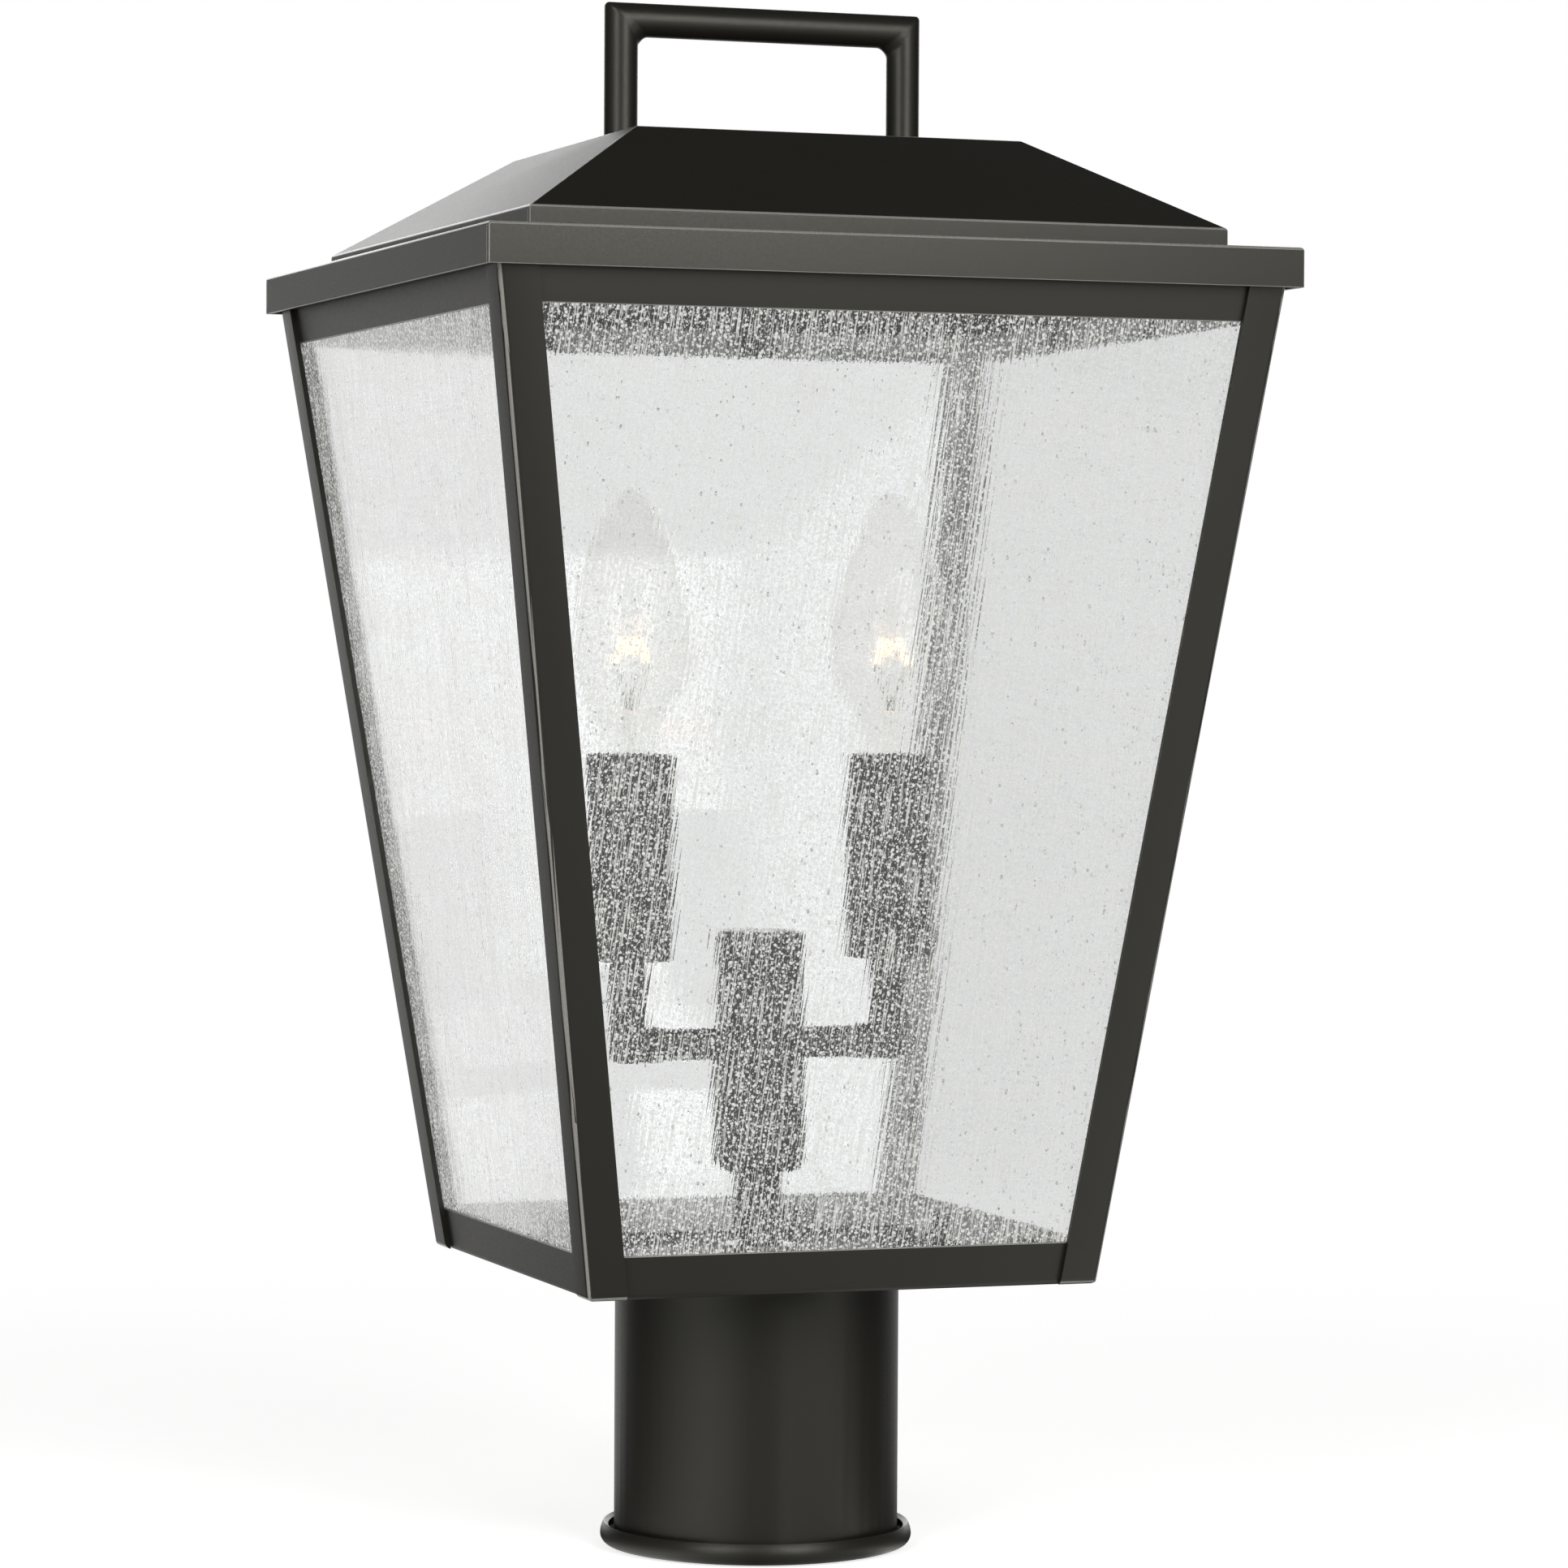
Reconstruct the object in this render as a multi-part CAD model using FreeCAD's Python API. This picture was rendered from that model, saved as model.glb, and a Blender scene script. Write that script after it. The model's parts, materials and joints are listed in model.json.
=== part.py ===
import FreeCAD, Part
import math
import os

# Post top lantern, in millimetres. +Z is up. The origin is the middle of the fitter's bottom edge.
# The front is -Y, the left side is -X. Every face of the cage leans outwards by the same slope.

# fitter: a round tube that slips over a post, its bottom edge rolled outwards into a bead
fitter_bore_radius = 38.5
fitter_wall = 1.5
bead_radius = 43.9
bead_lip_height = 6.0
bead_lip_curve = 6.0
fitter_screw_height = 25.0
fitter_screw_angle = 35.0
fitter_screw_radius = 3.0
fitter_screw_length = 8.0
fitter_screw_bevel = 0.5
fitter_screw_rest = 0.1
fitter_screw_socket = 3.0
fitter_screw_socket_depth = 3.0
fitter_collar_radius = 4.8
fitter_collar_height = 2.6

# cage
cage_bottom_z = 78.48
cage_height = 271.16
cage_bottom_half = 73.15
cage_lean = 0.1381
post_flange = 11.0
post_sheet = 1.5
post_inner_bend = 0.3
post_foot_round = 2.2
rail_sheet = 1.0
tray_bend = 1.8
tray_side_height = 11.9
corner_relief = 2.6
top_rail_height = 9.2
top_flange_bend = 1.4
lid_opening_inset = 12.6

# panes
pane_thickness = 3.0
pane_play = 0.1
pane_edge_play = 0.4
pane_top_cover = 8.2
clip_width = 10.0
clip_sheet = 0.8
clip_foot = 7.0
clip_grip = 8.0
clip_half_spacing = 34.0

# lid: cornice, roof and handle
cornice_overhang = 3.54
cornice_height = 10.79
lid_sheet = 1.2
cornice_bend = 1.0
cornice_corner = 0.5
cornice_ledge = 6.0
corner_gap = 0.6
lid_gap = 0.3
roof_setback = 15.59
roof_rim_height = 5.53
roof_slope_height = 25.86
roof_slope_run = 42.92
roof_bend = 1.2
tab_width = 22.0
tab_depth = 10.0
tab_play = 0.6
handle_bar = 9.4
handle_leg_inset = 13.69
handle_rise = 39.72
handle_weld = 3.0
handle_weld_width = 4.0
handle_screw_radius = 2.5
handle_screw_head = 4.4
handle_screw_head_height = 2.5
handle_screw_depth = 14.0
handle_screw_spare = 1.0
washer_radius = 6.5
washer_thickness = 1.2

# lid screws, on the back
lid_screw_x = 60.0
lid_screw_drop = 7.2
lid_screw_radius = 2.0
lid_screw_head_radius = 4.7
lid_screw_head = 4.0
lid_screw_bevel = 0.5
lid_screw_reach = 10.5
lid_nut_flats = 7.0
lid_nut_length = 3.2
notch_play = 0.35

# lamp cluster
nipple_radius = 6.55
nipple_bore = 4.7
nipple_nut_flats = 19.0
nipple_nut_height = 5.0
cluster_bottom_z = 105.4
cluster_waist_z = 136.0
cluster_split_z = 152.0
cluster_top_z = 173.0
cluster_foot_radius = 12.8
cluster_body_radius = 12.2
cluster_bore = 10.4
cluster_round = 3.6
cluster_wall = 1.8
cluster_floor = 5.0
cap_spigot = 3.2
arm_z = 141.2
arm_radius = 4.4
arm_bore = 3.0
arm_inner_end = 9.4
candle_x = 38.8
riser_radius = 5.25
riser_foot_z = 136.4
riser_top_z = 165.0
riser_bore = 2.8
riser_foot_chamfer = 1.4
arm_seat = 3.6
boss_radius = 5.0
boss_reach = 4.2
boss_chamfer = 0.3
stud_radius = 4.75
stud_length = 8.0
stud_spare = 1.0

# candle sleeves and lampholders
sleeve_radius = 12.5
sleeve_wall = 1.0
sleeve_height = 57.6
riser_nut_flats = 14.0
riser_nut_height = 3.0
holder_play = 1.9
holder_top_z = 216.0
holder_bore_floor_z = 196.8
holder_neck = 3.6
contact_radius = 2.6
contact_head_radius = 4.1
contact_height = 1.9
contact_gap = 0.3
shell_wall = 0.4
shell_inset = 1.0

# bulbs
bulb_base_radius = 5.95
bulb_base_bevel = 1.6
bulb_button_radius = 2.4
bulb_button_height = 1.5
bulb_collar_radius = 6.9
bulb_collar_height = 1.7
bulb_collar_gap = 0.3
bulb_neck_radius = 6.5
bulb_belly_radius = 17.5
bulb_belly_rise = 33.0
bulb_shoulder_slope = 50.0
bulb_tip_rise = 79.0
bulb_tip_round = 5.2
bulb_wall = 0.8
stem_foot_radius = 4.2
stem_top_radius = 1.6
stem_height = 20.0
filament_rise = 34.0
filament_half = 5.0
lead_radius = 0.45
lead_spread = 0.55
filament_radius = 0.7

running_play = 0.05
# cutting forms reach this far past the faces they open
overrun = 1.0
shell_play = 0.1

# heights and half-widths worked out from the sizes above
cage_top_z = cage_bottom_z + cage_height
cage_top_half = cage_bottom_half + cage_lean * cage_height
lid_opening_half = cage_top_half - lid_opening_inset
cornice_half = cage_top_half + cornice_overhang
cornice_inner_half = lid_opening_half - cornice_ledge
roof_rim_half = cornice_half - roof_setback
roof_top_half = roof_rim_half - roof_slope_run
handle_leg_x = roof_top_half - handle_leg_inset
floor_top_z = cage_bottom_z + rail_sheet
rail_inset = post_sheet
glass_outer_inset = rail_inset + rail_sheet + pane_play
glass_inner_inset = glass_outer_inset + pane_thickness
glass_edge_inset = glass_inner_inset + pane_edge_play
cornice_top_z = cage_top_z + cornice_height
frame_top_z = cornice_top_z - lid_sheet - lid_gap
top_rail_low_z = cage_top_z - top_rail_height
roof_rim_top_z = cornice_top_z + roof_rim_height
roof_top_z = roof_rim_top_z + roof_slope_height
under_roof_z = roof_top_z - lid_sheet
handle_top_z = roof_top_z + handle_rise
lid_screw_z = cornice_top_z - lid_screw_drop
sleeve_floor_z = riser_top_z + sleeve_wall
holder_low_z = sleeve_floor_z + riser_nut_height
contact_top_z = holder_bore_floor_z + contact_height
bulb_low_z = contact_top_z + contact_gap
bulb_base_low_z = bulb_low_z + bulb_button_height
bulb_collar_low_z = holder_top_z + bulb_collar_gap
bulb_glass_low_z = bulb_collar_low_z + bulb_collar_height
shell_radius = bulb_base_radius + shell_play

up = FreeCAD.Vector(0, 0, 1)
centre = FreeCAD.Vector(0, 0, 0)
sides = ["front", "right", "back", "left"]
corners = ["front_left", "front_right", "back_right", "back_left"]


def point(x, y, z):
    return FreeCAD.Vector(x, y, z)


def turned(shape, degrees):
    # a copy turned about the lantern's upright axis
    copy = shape.copy()
    copy.rotate(centre, up, degrees)
    return copy


def mirrored(shape):
    # the same piece on the other side, across the middle plane x = 0
    return shape.mirror(centre, point(1, 0, 0))


def moved(shape, x, y, z):
    copy = shape.copy()
    copy.translate(point(x, y, z))
    return copy


def cage_half(z):
    # half-width of the cage over its corner posts, at one height
    return cage_bottom_half + cage_lean * (z - cage_bottom_z)


def polygon(points):
    return Part.Wire(Part.makePolygon(points + [points[0]]))


def tapered_block(low_x, low_y, low_z, high_x, high_y, high_z):
    # a block of six flat faces between a lower and an upper rectangle, each given by its x and y limits
    lying = Part.makeWedge(low_x[0], low_z, -low_y[1], -high_y[1], high_x[0],
                           low_x[1], high_z, -low_y[0], -high_y[0], high_x[1])
    lying.rotate(centre, point(1, 0, 0), 90)
    return lying


def pyramid(low_half, low_z, high_half, high_z):
    # a four-sided block between two squares
    low = (-low_half, low_half)
    high = (-high_half, high_half)
    return tapered_block(low, low, low_z, high, high, high_z)


def cage_block(inset, low_z, high_z):
    # the cage's outer form, drawn in by an inset, between two heights
    return pyramid(cage_half(low_z) - inset, low_z, cage_half(high_z) - inset, high_z)


def edges_at(shape, z):
    # the level edges of a shape at one height
    found = []
    for edge in shape.Edges:
        box = edge.BoundBox
        if abs(box.ZMin - z) < 1e-6 and abs(box.ZMax - z) < 1e-6:
            found.append(edge)
    return found


def cylinder(radius, height, base, axis=up):
    return Part.makeCylinder(radius, height, base, axis)


def ring(outer, inner, low_z, high_z):
    # a tube that stands on the lantern's axis
    bore = cylinder(inner, high_z - low_z + 2 * overrun, point(0, 0, low_z - overrun))
    return cylinder(outer, high_z - low_z, point(0, 0, low_z)).cut(bore)


def hexagon(flats, length):
    # a six-sided bar along +Z from the origin, with two of its sides square to Y
    radius = flats / math.sqrt(3)
    points = []
    for corner in range(6):
        angle = math.radians(60 * corner)
        points.append(point(radius * math.cos(angle), radius * math.sin(angle), 0))
    return Part.Face(polygon(points)).extrude(point(0, 0, length))


def spun(edges):
    # turns a closed outline in the XZ plane about the Z axis
    return Part.Face(Part.Wire(edges)).revolve(centre, up, 360)


def line(a, b):
    return Part.LineSegment(point(a[0], 0, a[1]), point(b[0], 0, b[1])).toShape()


def arc(a, middle, b):
    return Part.Arc(point(a[0], 0, a[1]), point(middle[0], 0, middle[1]), point(b[0], 0, b[1])).toShape()


def on_circle(middle, radius, degrees):
    angle = math.radians(degrees)
    return (middle[0] + radius * math.cos(angle), middle[1] + radius * math.sin(angle))


def arc_about(middle, radius, start, end):
    # an arc of a circle in the XZ plane, between two angles
    half_way = (start + end) / 2
    return arc(on_circle(middle, radius, start), on_circle(middle, radius, half_way),
               on_circle(middle, radius, end))


def screw_directions():
    # the two fitter screws look outwards to either side of straight back
    left = math.radians(90 + fitter_screw_angle)
    right = math.radians(90 - fitter_screw_angle)
    return [point(math.cos(left), math.sin(left), 0), point(math.cos(right), math.sin(right), 0)]


def fitter_tube():
    # the wall runs down, curls outwards under the bottom, and comes up again as an open bead
    outer_radius = fitter_bore_radius + fitter_wall
    curl = (bead_radius - fitter_bore_radius) / 2
    under = (fitter_bore_radius + curl, curl)
    lip_centre = (bead_radius - bead_lip_curve, curl)
    lip_angle = math.degrees(math.asin((bead_lip_height - curl) / bead_lip_curve))
    lip_inside = bead_lip_curve - fitter_wall
    curl_inside = curl - fitter_wall
    inner_foot = (fitter_bore_radius, curl)
    outer_foot = (outer_radius, curl)
    lip_outer_end = on_circle(lip_centre, bead_lip_curve, lip_angle)
    lip_inner_end = on_circle(lip_centre, lip_inside, lip_angle)
    section = [
        line((fitter_bore_radius, cage_bottom_z), inner_foot),
        arc_about(under, curl, 180, 270),
        arc_about(under, curl, 270, 360),
        arc_about(lip_centre, bead_lip_curve, 0, lip_angle),
        line(lip_outer_end, lip_inner_end),
        arc_about(lip_centre, lip_inside, lip_angle, 0),
        line(on_circle(under, curl_inside, 0), on_circle(under, curl_inside, -60)),
        line(on_circle(under, curl_inside, -60), on_circle(under, curl_inside, -120)),
        line(on_circle(under, curl_inside, -120), on_circle(under, curl_inside, 180)),
        line(outer_foot, (outer_radius, cage_bottom_z)),
        line((outer_radius, cage_bottom_z), (fitter_bore_radius, cage_bottom_z)),
    ]
    tube = spun(section)
    for direction in screw_directions():
        # a collar drawn out of the wall gives the screw its thread
        start = direction * (fitter_bore_radius + fitter_wall / 2) + up * fitter_screw_height
        height = fitter_wall / 2 + fitter_collar_height
        tube = tube.fuse(cylinder(fitter_collar_radius, height, start, direction))
    bore = cylinder(fitter_bore_radius, cage_bottom_z, centre)
    tube = tube.cut(bore)
    for direction in screw_directions():
        hole_start = direction * (fitter_bore_radius - fitter_wall) + up * fitter_screw_height
        hole = cylinder(fitter_screw_radius + running_play, fitter_screw_length * 2, hole_start, direction)
        tube = tube.cut(hole)
    return tube.removeSplitter()


def fitter_screw(direction):
    # a headless screw whose inner end rests just outside the bore, with a hexagon socket in its outer end
    start = direction * (fitter_bore_radius + fitter_screw_rest) + up * fitter_screw_height
    screw = cylinder(fitter_screw_radius, fitter_screw_length, centre)
    chamfered = edges_at(screw, 0.0) + edges_at(screw, fitter_screw_length)
    screw = screw.makeChamfer(fitter_screw_bevel, chamfered)
    socket = hexagon(fitter_screw_socket, fitter_screw_socket_depth + 1)
    screw = screw.cut(moved(socket, 0, 0, fitter_screw_length - fitter_screw_socket_depth))
    screw.Placement = FreeCAD.Placement(start, FreeCAD.Rotation(up, direction))
    return screw


def post_outline():
    # an angle folded from sheet, its outer corner at the origin and its flanges along +X and +Y
    post_bend = post_sheet + post_inner_bend
    step = 1 - math.sqrt(0.5)
    corner = [point(0, post_bend, 0), point(post_bend * step, post_bend * step, 0), point(post_bend, 0, 0)]
    hollow_step = post_sheet + post_inner_bend * step
    hollow = [point(post_bend, post_sheet, 0),
              point(hollow_step, hollow_step, 0),
              point(post_sheet, post_bend, 0)]
    return Part.Wire([
        Part.Arc(*corner).toShape(),
        Part.makeLine(point(post_bend, 0, 0), point(post_flange, 0, 0)),
        Part.makeLine(point(post_flange, 0, 0), point(post_flange, post_sheet, 0)),
        Part.makeLine(point(post_flange, post_sheet, 0), hollow[0]),
        Part.Arc(*hollow).toShape(),
        Part.makeLine(hollow[2], point(post_sheet, post_flange, 0)),
        Part.makeLine(point(post_sheet, post_flange, 0), point(0, post_flange, 0)),
        Part.makeLine(point(0, post_flange, 0), point(0, post_bend, 0)),
    ])


def corner_post():
    # the folded angle, leaning out along both sides of the front left corner, with a rounded foot
    height = frame_top_z - rail_sheet - cage_bottom_z
    reach = cage_lean * height
    angle = Part.Face(post_outline()).extrude(point(-reach, -reach, height))
    angle.translate(point(-cage_bottom_half, -cage_bottom_half, cage_bottom_z))
    form = cage_block(0, cage_bottom_z, frame_top_z)
    form = form.makeFillet(post_foot_round, edges_at(form, cage_bottom_z))
    return angle.common(form)


def notched(folded, low_z, high_z):
    # each corner of a folded sheet is cut away, so that its sides can be bent; the posts cover the gaps
    low_half = cage_half(low_z - overrun) - rail_inset
    height = high_z - low_z + 2 * overrun
    reach = cage_lean * height
    start = -low_half - corner_relief
    square = Part.makePlane(2 * corner_relief, 2 * corner_relief, point(start, start, low_z - overrun))
    notch = square.extrude(point(-reach, -reach, height))
    for quarter in range(4):
        folded = folded.cut(turned(notch, 90 * quarter))
    return folded


def base_tray():
    # one sheet folded up on four sides: its floor is the lantern's floor, its sides are the bottom rails
    rail_top_z = cage_bottom_z + tray_side_height
    outer = cage_block(rail_inset, cage_bottom_z, rail_top_z)
    outer = outer.makeFillet(tray_bend, edges_at(outer, cage_bottom_z))
    inner = cage_block(rail_inset + rail_sheet, floor_top_z, rail_top_z + overrun)
    inner = inner.makeFillet(tray_bend - rail_sheet, edges_at(inner, floor_top_z))
    tray = outer.cut(inner)
    hole_start = point(0, 0, cage_bottom_z - overrun)
    hole = cylinder(nipple_radius + running_play, rail_sheet + 2 * overrun, hole_start)
    return notched(tray, cage_bottom_z, rail_top_z).cut(hole)


def wedge():
    # the quarter of the plan that belongs to the front side, cut at the mitres
    reach = 2 * cornice_half
    corner_points = [point(0, 0, 0), point(-reach, -reach, 0), point(reach, -reach, 0)]
    return Part.Face(polygon(corner_points)).extrude(point(0, 0, 2 * handle_top_z))


def top_rail(side):
    # a folded angle, mitred at both ends: it hangs down behind the posts and turns in to carry the lid
    outer = cage_block(rail_inset, top_rail_low_z, frame_top_z)
    outer = outer.makeFillet(top_flange_bend, edges_at(outer, frame_top_z))
    inner = cage_block(rail_inset + rail_sheet, top_rail_low_z - overrun, frame_top_z - rail_sheet)
    opening = pyramid(lid_opening_half, top_rail_low_z, lid_opening_half, frame_top_z + overrun)
    rail = notched(outer.cut(inner).cut(opening).common(wedge()), top_rail_low_z, frame_top_z)
    rail = turned(rail, 90 * sides.index(side))
    if side == "back":
        for x in (-lid_screw_x, lid_screw_x):
            start = point(x, 0, lid_screw_z)
            rail = rail.cut(cylinder(lid_screw_radius + running_play, cornice_half, start, point(0, 1, 0)))
    return rail


def pane(side):
    # a tapered sheet of glass behind the posts and rails
    low_z = floor_top_z + tray_bend - rail_sheet + pane_play
    high_z = top_rail_low_z + pane_top_cover
    limits = []
    for z in (low_z, high_z):
        edge = cage_half(z) - glass_edge_inset
        limits.append((-edge, edge))
        limits.append((glass_outer_inset - cage_half(z), glass_inner_inset - cage_half(z)))
        limits.append(z)
    return turned(tapered_block(*limits), 90 * sides.index(side))


def clip(foot_z, lift, foot_sheet):
    # a bent tab on the front side: its foot lies flat at foot_z, its blade leans along the glass
    face = glass_inner_inset + pane_play
    tip_z = foot_z + lift
    turn_z = foot_z + foot_sheet

    def at(inset, z):
        return point(-clip_width / 2, -(cage_half(z) - inset), z)

    heel = at(face, foot_z)
    toe_y = heel.y + clip_sheet + clip_foot
    outline = polygon([heel, at(face, tip_z), at(face + clip_sheet, tip_z), at(face + clip_sheet, turn_z),
                       point(heel.x, toe_y, turn_z), point(heel.x, toe_y, foot_z)])
    return Part.Face(outline).extrude(point(clip_width, 0, 0))


def pane_clips():
    # two tabs on the floor and two under the top rail hold each pane
    top_foot_z = frame_top_z - rail_sheet
    drop = top_foot_z - (top_rail_low_z + pane_top_cover) + clip_grip
    tabs = []
    for quarter in range(4):
        for x in (-clip_half_spacing, clip_half_spacing):
            low_tab = moved(clip(floor_top_z, clip_grip, clip_sheet), x, 0, 0)
            high_tab = moved(clip(top_foot_z, -drop, -clip_sheet), x, 0, 0)
            tabs.append(turned(low_tab, 90 * quarter))
            tabs.append(turned(high_tab, 90 * quarter))
    return Part.makeCompound(tabs)


def nipple():
    # the hollow threaded tube that carries the lamps and lets the leads in
    return ring(nipple_radius, nipple_bore, cage_bottom_z, cluster_bottom_z + cluster_floor)


def nipple_nut():
    nut = moved(hexagon(nipple_nut_flats, nipple_nut_height), 0, 0, floor_top_z)
    hole_start = point(0, 0, floor_top_z - overrun)
    return nut.cut(cylinder(nipple_radius + running_play, nipple_nut_height + 2 * overrun, hole_start))


def cluster_body():
    # a turned cup with a rounded foot and a waist; the arms enter it from both sides
    foot = cluster_foot_radius
    upper = cluster_body_radius
    round_centre = (foot - cluster_round, cluster_bottom_z + cluster_round)
    bore_floor_z = cluster_bottom_z + cluster_floor
    hole = nipple_radius + running_play
    step = foot - upper
    section = [
        line((hole, cluster_bottom_z), (foot - cluster_round, cluster_bottom_z)),
        arc_about(round_centre, cluster_round, -90, 0),
        line((foot, cluster_bottom_z + cluster_round), (foot, cluster_waist_z - step)),
        line((foot, cluster_waist_z - step), (upper, cluster_waist_z)),
        line((upper, cluster_waist_z), (upper, cluster_split_z)),
        line((upper, cluster_split_z), (cluster_bore, cluster_split_z)),
        line((cluster_bore, cluster_split_z), (cluster_bore, bore_floor_z)),
        line((cluster_bore, bore_floor_z), (hole, bore_floor_z)),
        line((hole, bore_floor_z), (hole, cluster_bottom_z)),
    ]
    body = spun(section)
    arms = cylinder(arm_radius + running_play, 2 * candle_x, point(-candle_x, 0, arm_z), point(1, 0, 0))
    return body.cut(arms)


def cluster_cap():
    # a plain cup turned over the top of the body, with a spigot that drops into it
    spigot = cluster_bore - running_play
    inside = spigot - cluster_wall
    low_z = cluster_split_z
    ceiling_z = cluster_top_z - cluster_wall
    bevel = cluster_wall / 2
    section = [
        line((0, cluster_top_z), (cluster_body_radius - bevel, cluster_top_z)),
        line((cluster_body_radius - bevel, cluster_top_z), (cluster_body_radius, cluster_top_z - bevel)),
        line((cluster_body_radius, cluster_top_z - bevel), (cluster_body_radius, low_z)),
        line((cluster_body_radius, low_z), (spigot, low_z)),
        line((spigot, low_z), (spigot, low_z - cap_spigot)),
        line((spigot, low_z - cap_spigot), (inside, low_z - cap_spigot)),
        line((inside, low_z - cap_spigot), (inside, ceiling_z)),
        line((inside, ceiling_z), (0, ceiling_z)),
        line((0, ceiling_z), (0, cluster_top_z)),
    ]
    return spun(section)


def arm():
    # the left arm: a straight tube from inside the cluster body to its seat in the riser
    length = candle_x - arm_seat - arm_inner_end
    start = point(-arm_inner_end, 0, arm_z)
    bore_start = point(overrun - arm_inner_end, 0, arm_z)
    left = point(-1, 0, 0)
    bore = cylinder(arm_bore, length + 2 * overrun, bore_start, left)
    return cylinder(arm_radius, length, start, left).cut(bore)


def riser():
    # the left riser: a closed foot, a boss that takes the arm, and a shouldered stud on top
    inwards = point(1, 0, 0)
    axis_point = point(-candle_x, 0, arm_z)
    body = cylinder(riser_radius, riser_top_z - riser_foot_z, point(-candle_x, 0, riser_foot_z))
    body = body.makeChamfer(riser_foot_chamfer, edges_at(body, riser_foot_z))
    boss_length = riser_radius + boss_reach
    boss = cylinder(boss_radius, boss_length, axis_point, inwards)
    mouth = [e for e in boss.Edges if e.BoundBox.XMin > boss_length / 2 - candle_x]
    boss = boss.makeChamfer(boss_chamfer, mouth)
    stud = cylinder(stud_radius, stud_length, point(-candle_x, 0, riser_top_z))
    body = body.fuse([boss, stud])
    seat = point(arm_seat - candle_x, 0, arm_z)
    body = body.cut(cylinder(arm_radius + running_play, boss_length, seat, inwards))
    body = body.cut(cylinder(arm_bore, arm_seat, axis_point, inwards))
    return body.cut(cylinder(riser_bore, riser_top_z + stud_length - arm_z + overrun, axis_point))


def candle_sleeve():
    # a drawn cup whose floor is clamped between the riser's shoulder and a nut
    sleeve = cylinder(sleeve_radius, sleeve_height, point(-candle_x, 0, riser_top_z))
    sleeve = sleeve.makeChamfer(sleeve_wall / 2, edges_at(sleeve, riser_top_z))
    hollow = cylinder(sleeve_radius - sleeve_wall, sleeve_height, point(-candle_x, 0, sleeve_floor_z))
    hole_base = point(-candle_x, 0, riser_top_z - overrun)
    hole = cylinder(stud_radius + running_play, sleeve_wall + 2 * overrun, hole_base)
    return sleeve.cut(hollow).cut(hole)


def riser_nuts():
    nut = moved(hexagon(riser_nut_flats, riser_nut_height), -candle_x, 0, sleeve_floor_z)
    hole_base = point(-candle_x, 0, sleeve_floor_z - overrun)
    nut = nut.cut(cylinder(stud_radius + running_play, riser_nut_height + 2 * overrun, hole_base))
    return Part.makeCompound([nut, mirrored(nut)])


def lampholder():
    # a moulded holder screwed on the stud, bored from above for the lamp's cap
    holder_radius = sleeve_radius - sleeve_wall - holder_play
    body = cylinder(holder_radius, holder_top_z - holder_low_z, point(-candle_x, 0, holder_low_z))
    body = body.makeChamfer(sleeve_wall, edges_at(body, holder_top_z))
    foot = point(-candle_x, 0, holder_low_z)
    thread_top_z = riser_top_z + stud_length + stud_spare
    thread = cylinder(stud_radius + running_play, thread_top_z - holder_low_z, foot)
    neck = cylinder(riser_bore, holder_bore_floor_z - holder_low_z, foot)
    seat_depth = holder_top_z - holder_bore_floor_z
    seat = cylinder(shell_radius + shell_wall, seat_depth + overrun, point(-candle_x, 0, holder_bore_floor_z))
    return body.cut(thread).cut(neck).cut(seat)


def socket_shell():
    # the threaded shell that lines the lampholder
    low_z = holder_bore_floor_z + contact_height + shell_inset
    shell = ring(shell_radius + shell_wall, shell_radius, low_z, holder_top_z - shell_inset)
    return moved(shell, -candle_x, 0, 0)


def socket_contact():
    # the centre contact on the holder's floor, its stem held in the neck below
    button = cylinder(contact_head_radius, contact_height, point(-candle_x, 0, holder_bore_floor_z))
    stem = cylinder(contact_radius, holder_neck, point(-candle_x, 0, holder_bore_floor_z - holder_neck))
    return button.fuse(stem).removeSplitter()


def bulb_base():
    # the screw cap: a contact button, the threaded part and a collar that seats on the holder
    button = cylinder(bulb_button_radius, bulb_button_height, point(0, 0, bulb_low_z))
    collar_foot = bulb_collar_low_z
    thread = cylinder(bulb_base_radius, collar_foot - bulb_base_low_z, point(0, 0, bulb_base_low_z))
    thread = thread.makeChamfer(bulb_base_bevel, edges_at(thread, bulb_base_low_z))
    collar = cylinder(bulb_collar_radius, bulb_collar_height, point(0, 0, collar_foot))
    base = button.fuse(thread).fuse(collar).removeSplitter()
    return moved(base, -candle_x, 0, 0)


def envelope(offset):
    # half of the torpedo outline, drawn in by the offset: neck, shoulder, round belly, long taper, round tip
    foot_z = bulb_glass_low_z
    belly_centre = (0, foot_z + bulb_belly_rise)
    tip_centre = (0, foot_z + bulb_tip_rise - bulb_tip_round)
    # both tapers touch the belly's circle, and the long one touches the tip's circle too
    rise = tip_centre[1] - belly_centre[1]
    taper = math.degrees(math.asin((bulb_belly_radius - bulb_tip_round) / rise))
    belly = bulb_belly_radius - offset
    tip = bulb_tip_round - offset
    neck = bulb_neck_radius - offset
    shoulder = on_circle(belly_centre, belly, -bulb_shoulder_slope)
    neck_z = shoulder[1] - (shoulder[0] - neck) / math.tan(math.radians(bulb_shoulder_slope))
    edges = [
        line((neck, foot_z), (neck, neck_z)),
        line((neck, neck_z), shoulder),
        arc_about(belly_centre, belly, -bulb_shoulder_slope, taper),
        line(on_circle(belly_centre, belly, taper), on_circle(tip_centre, tip, taper)),
        arc_about(tip_centre, tip, taper, 90),
    ]
    return edges, tip_centre[1] + tip


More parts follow.
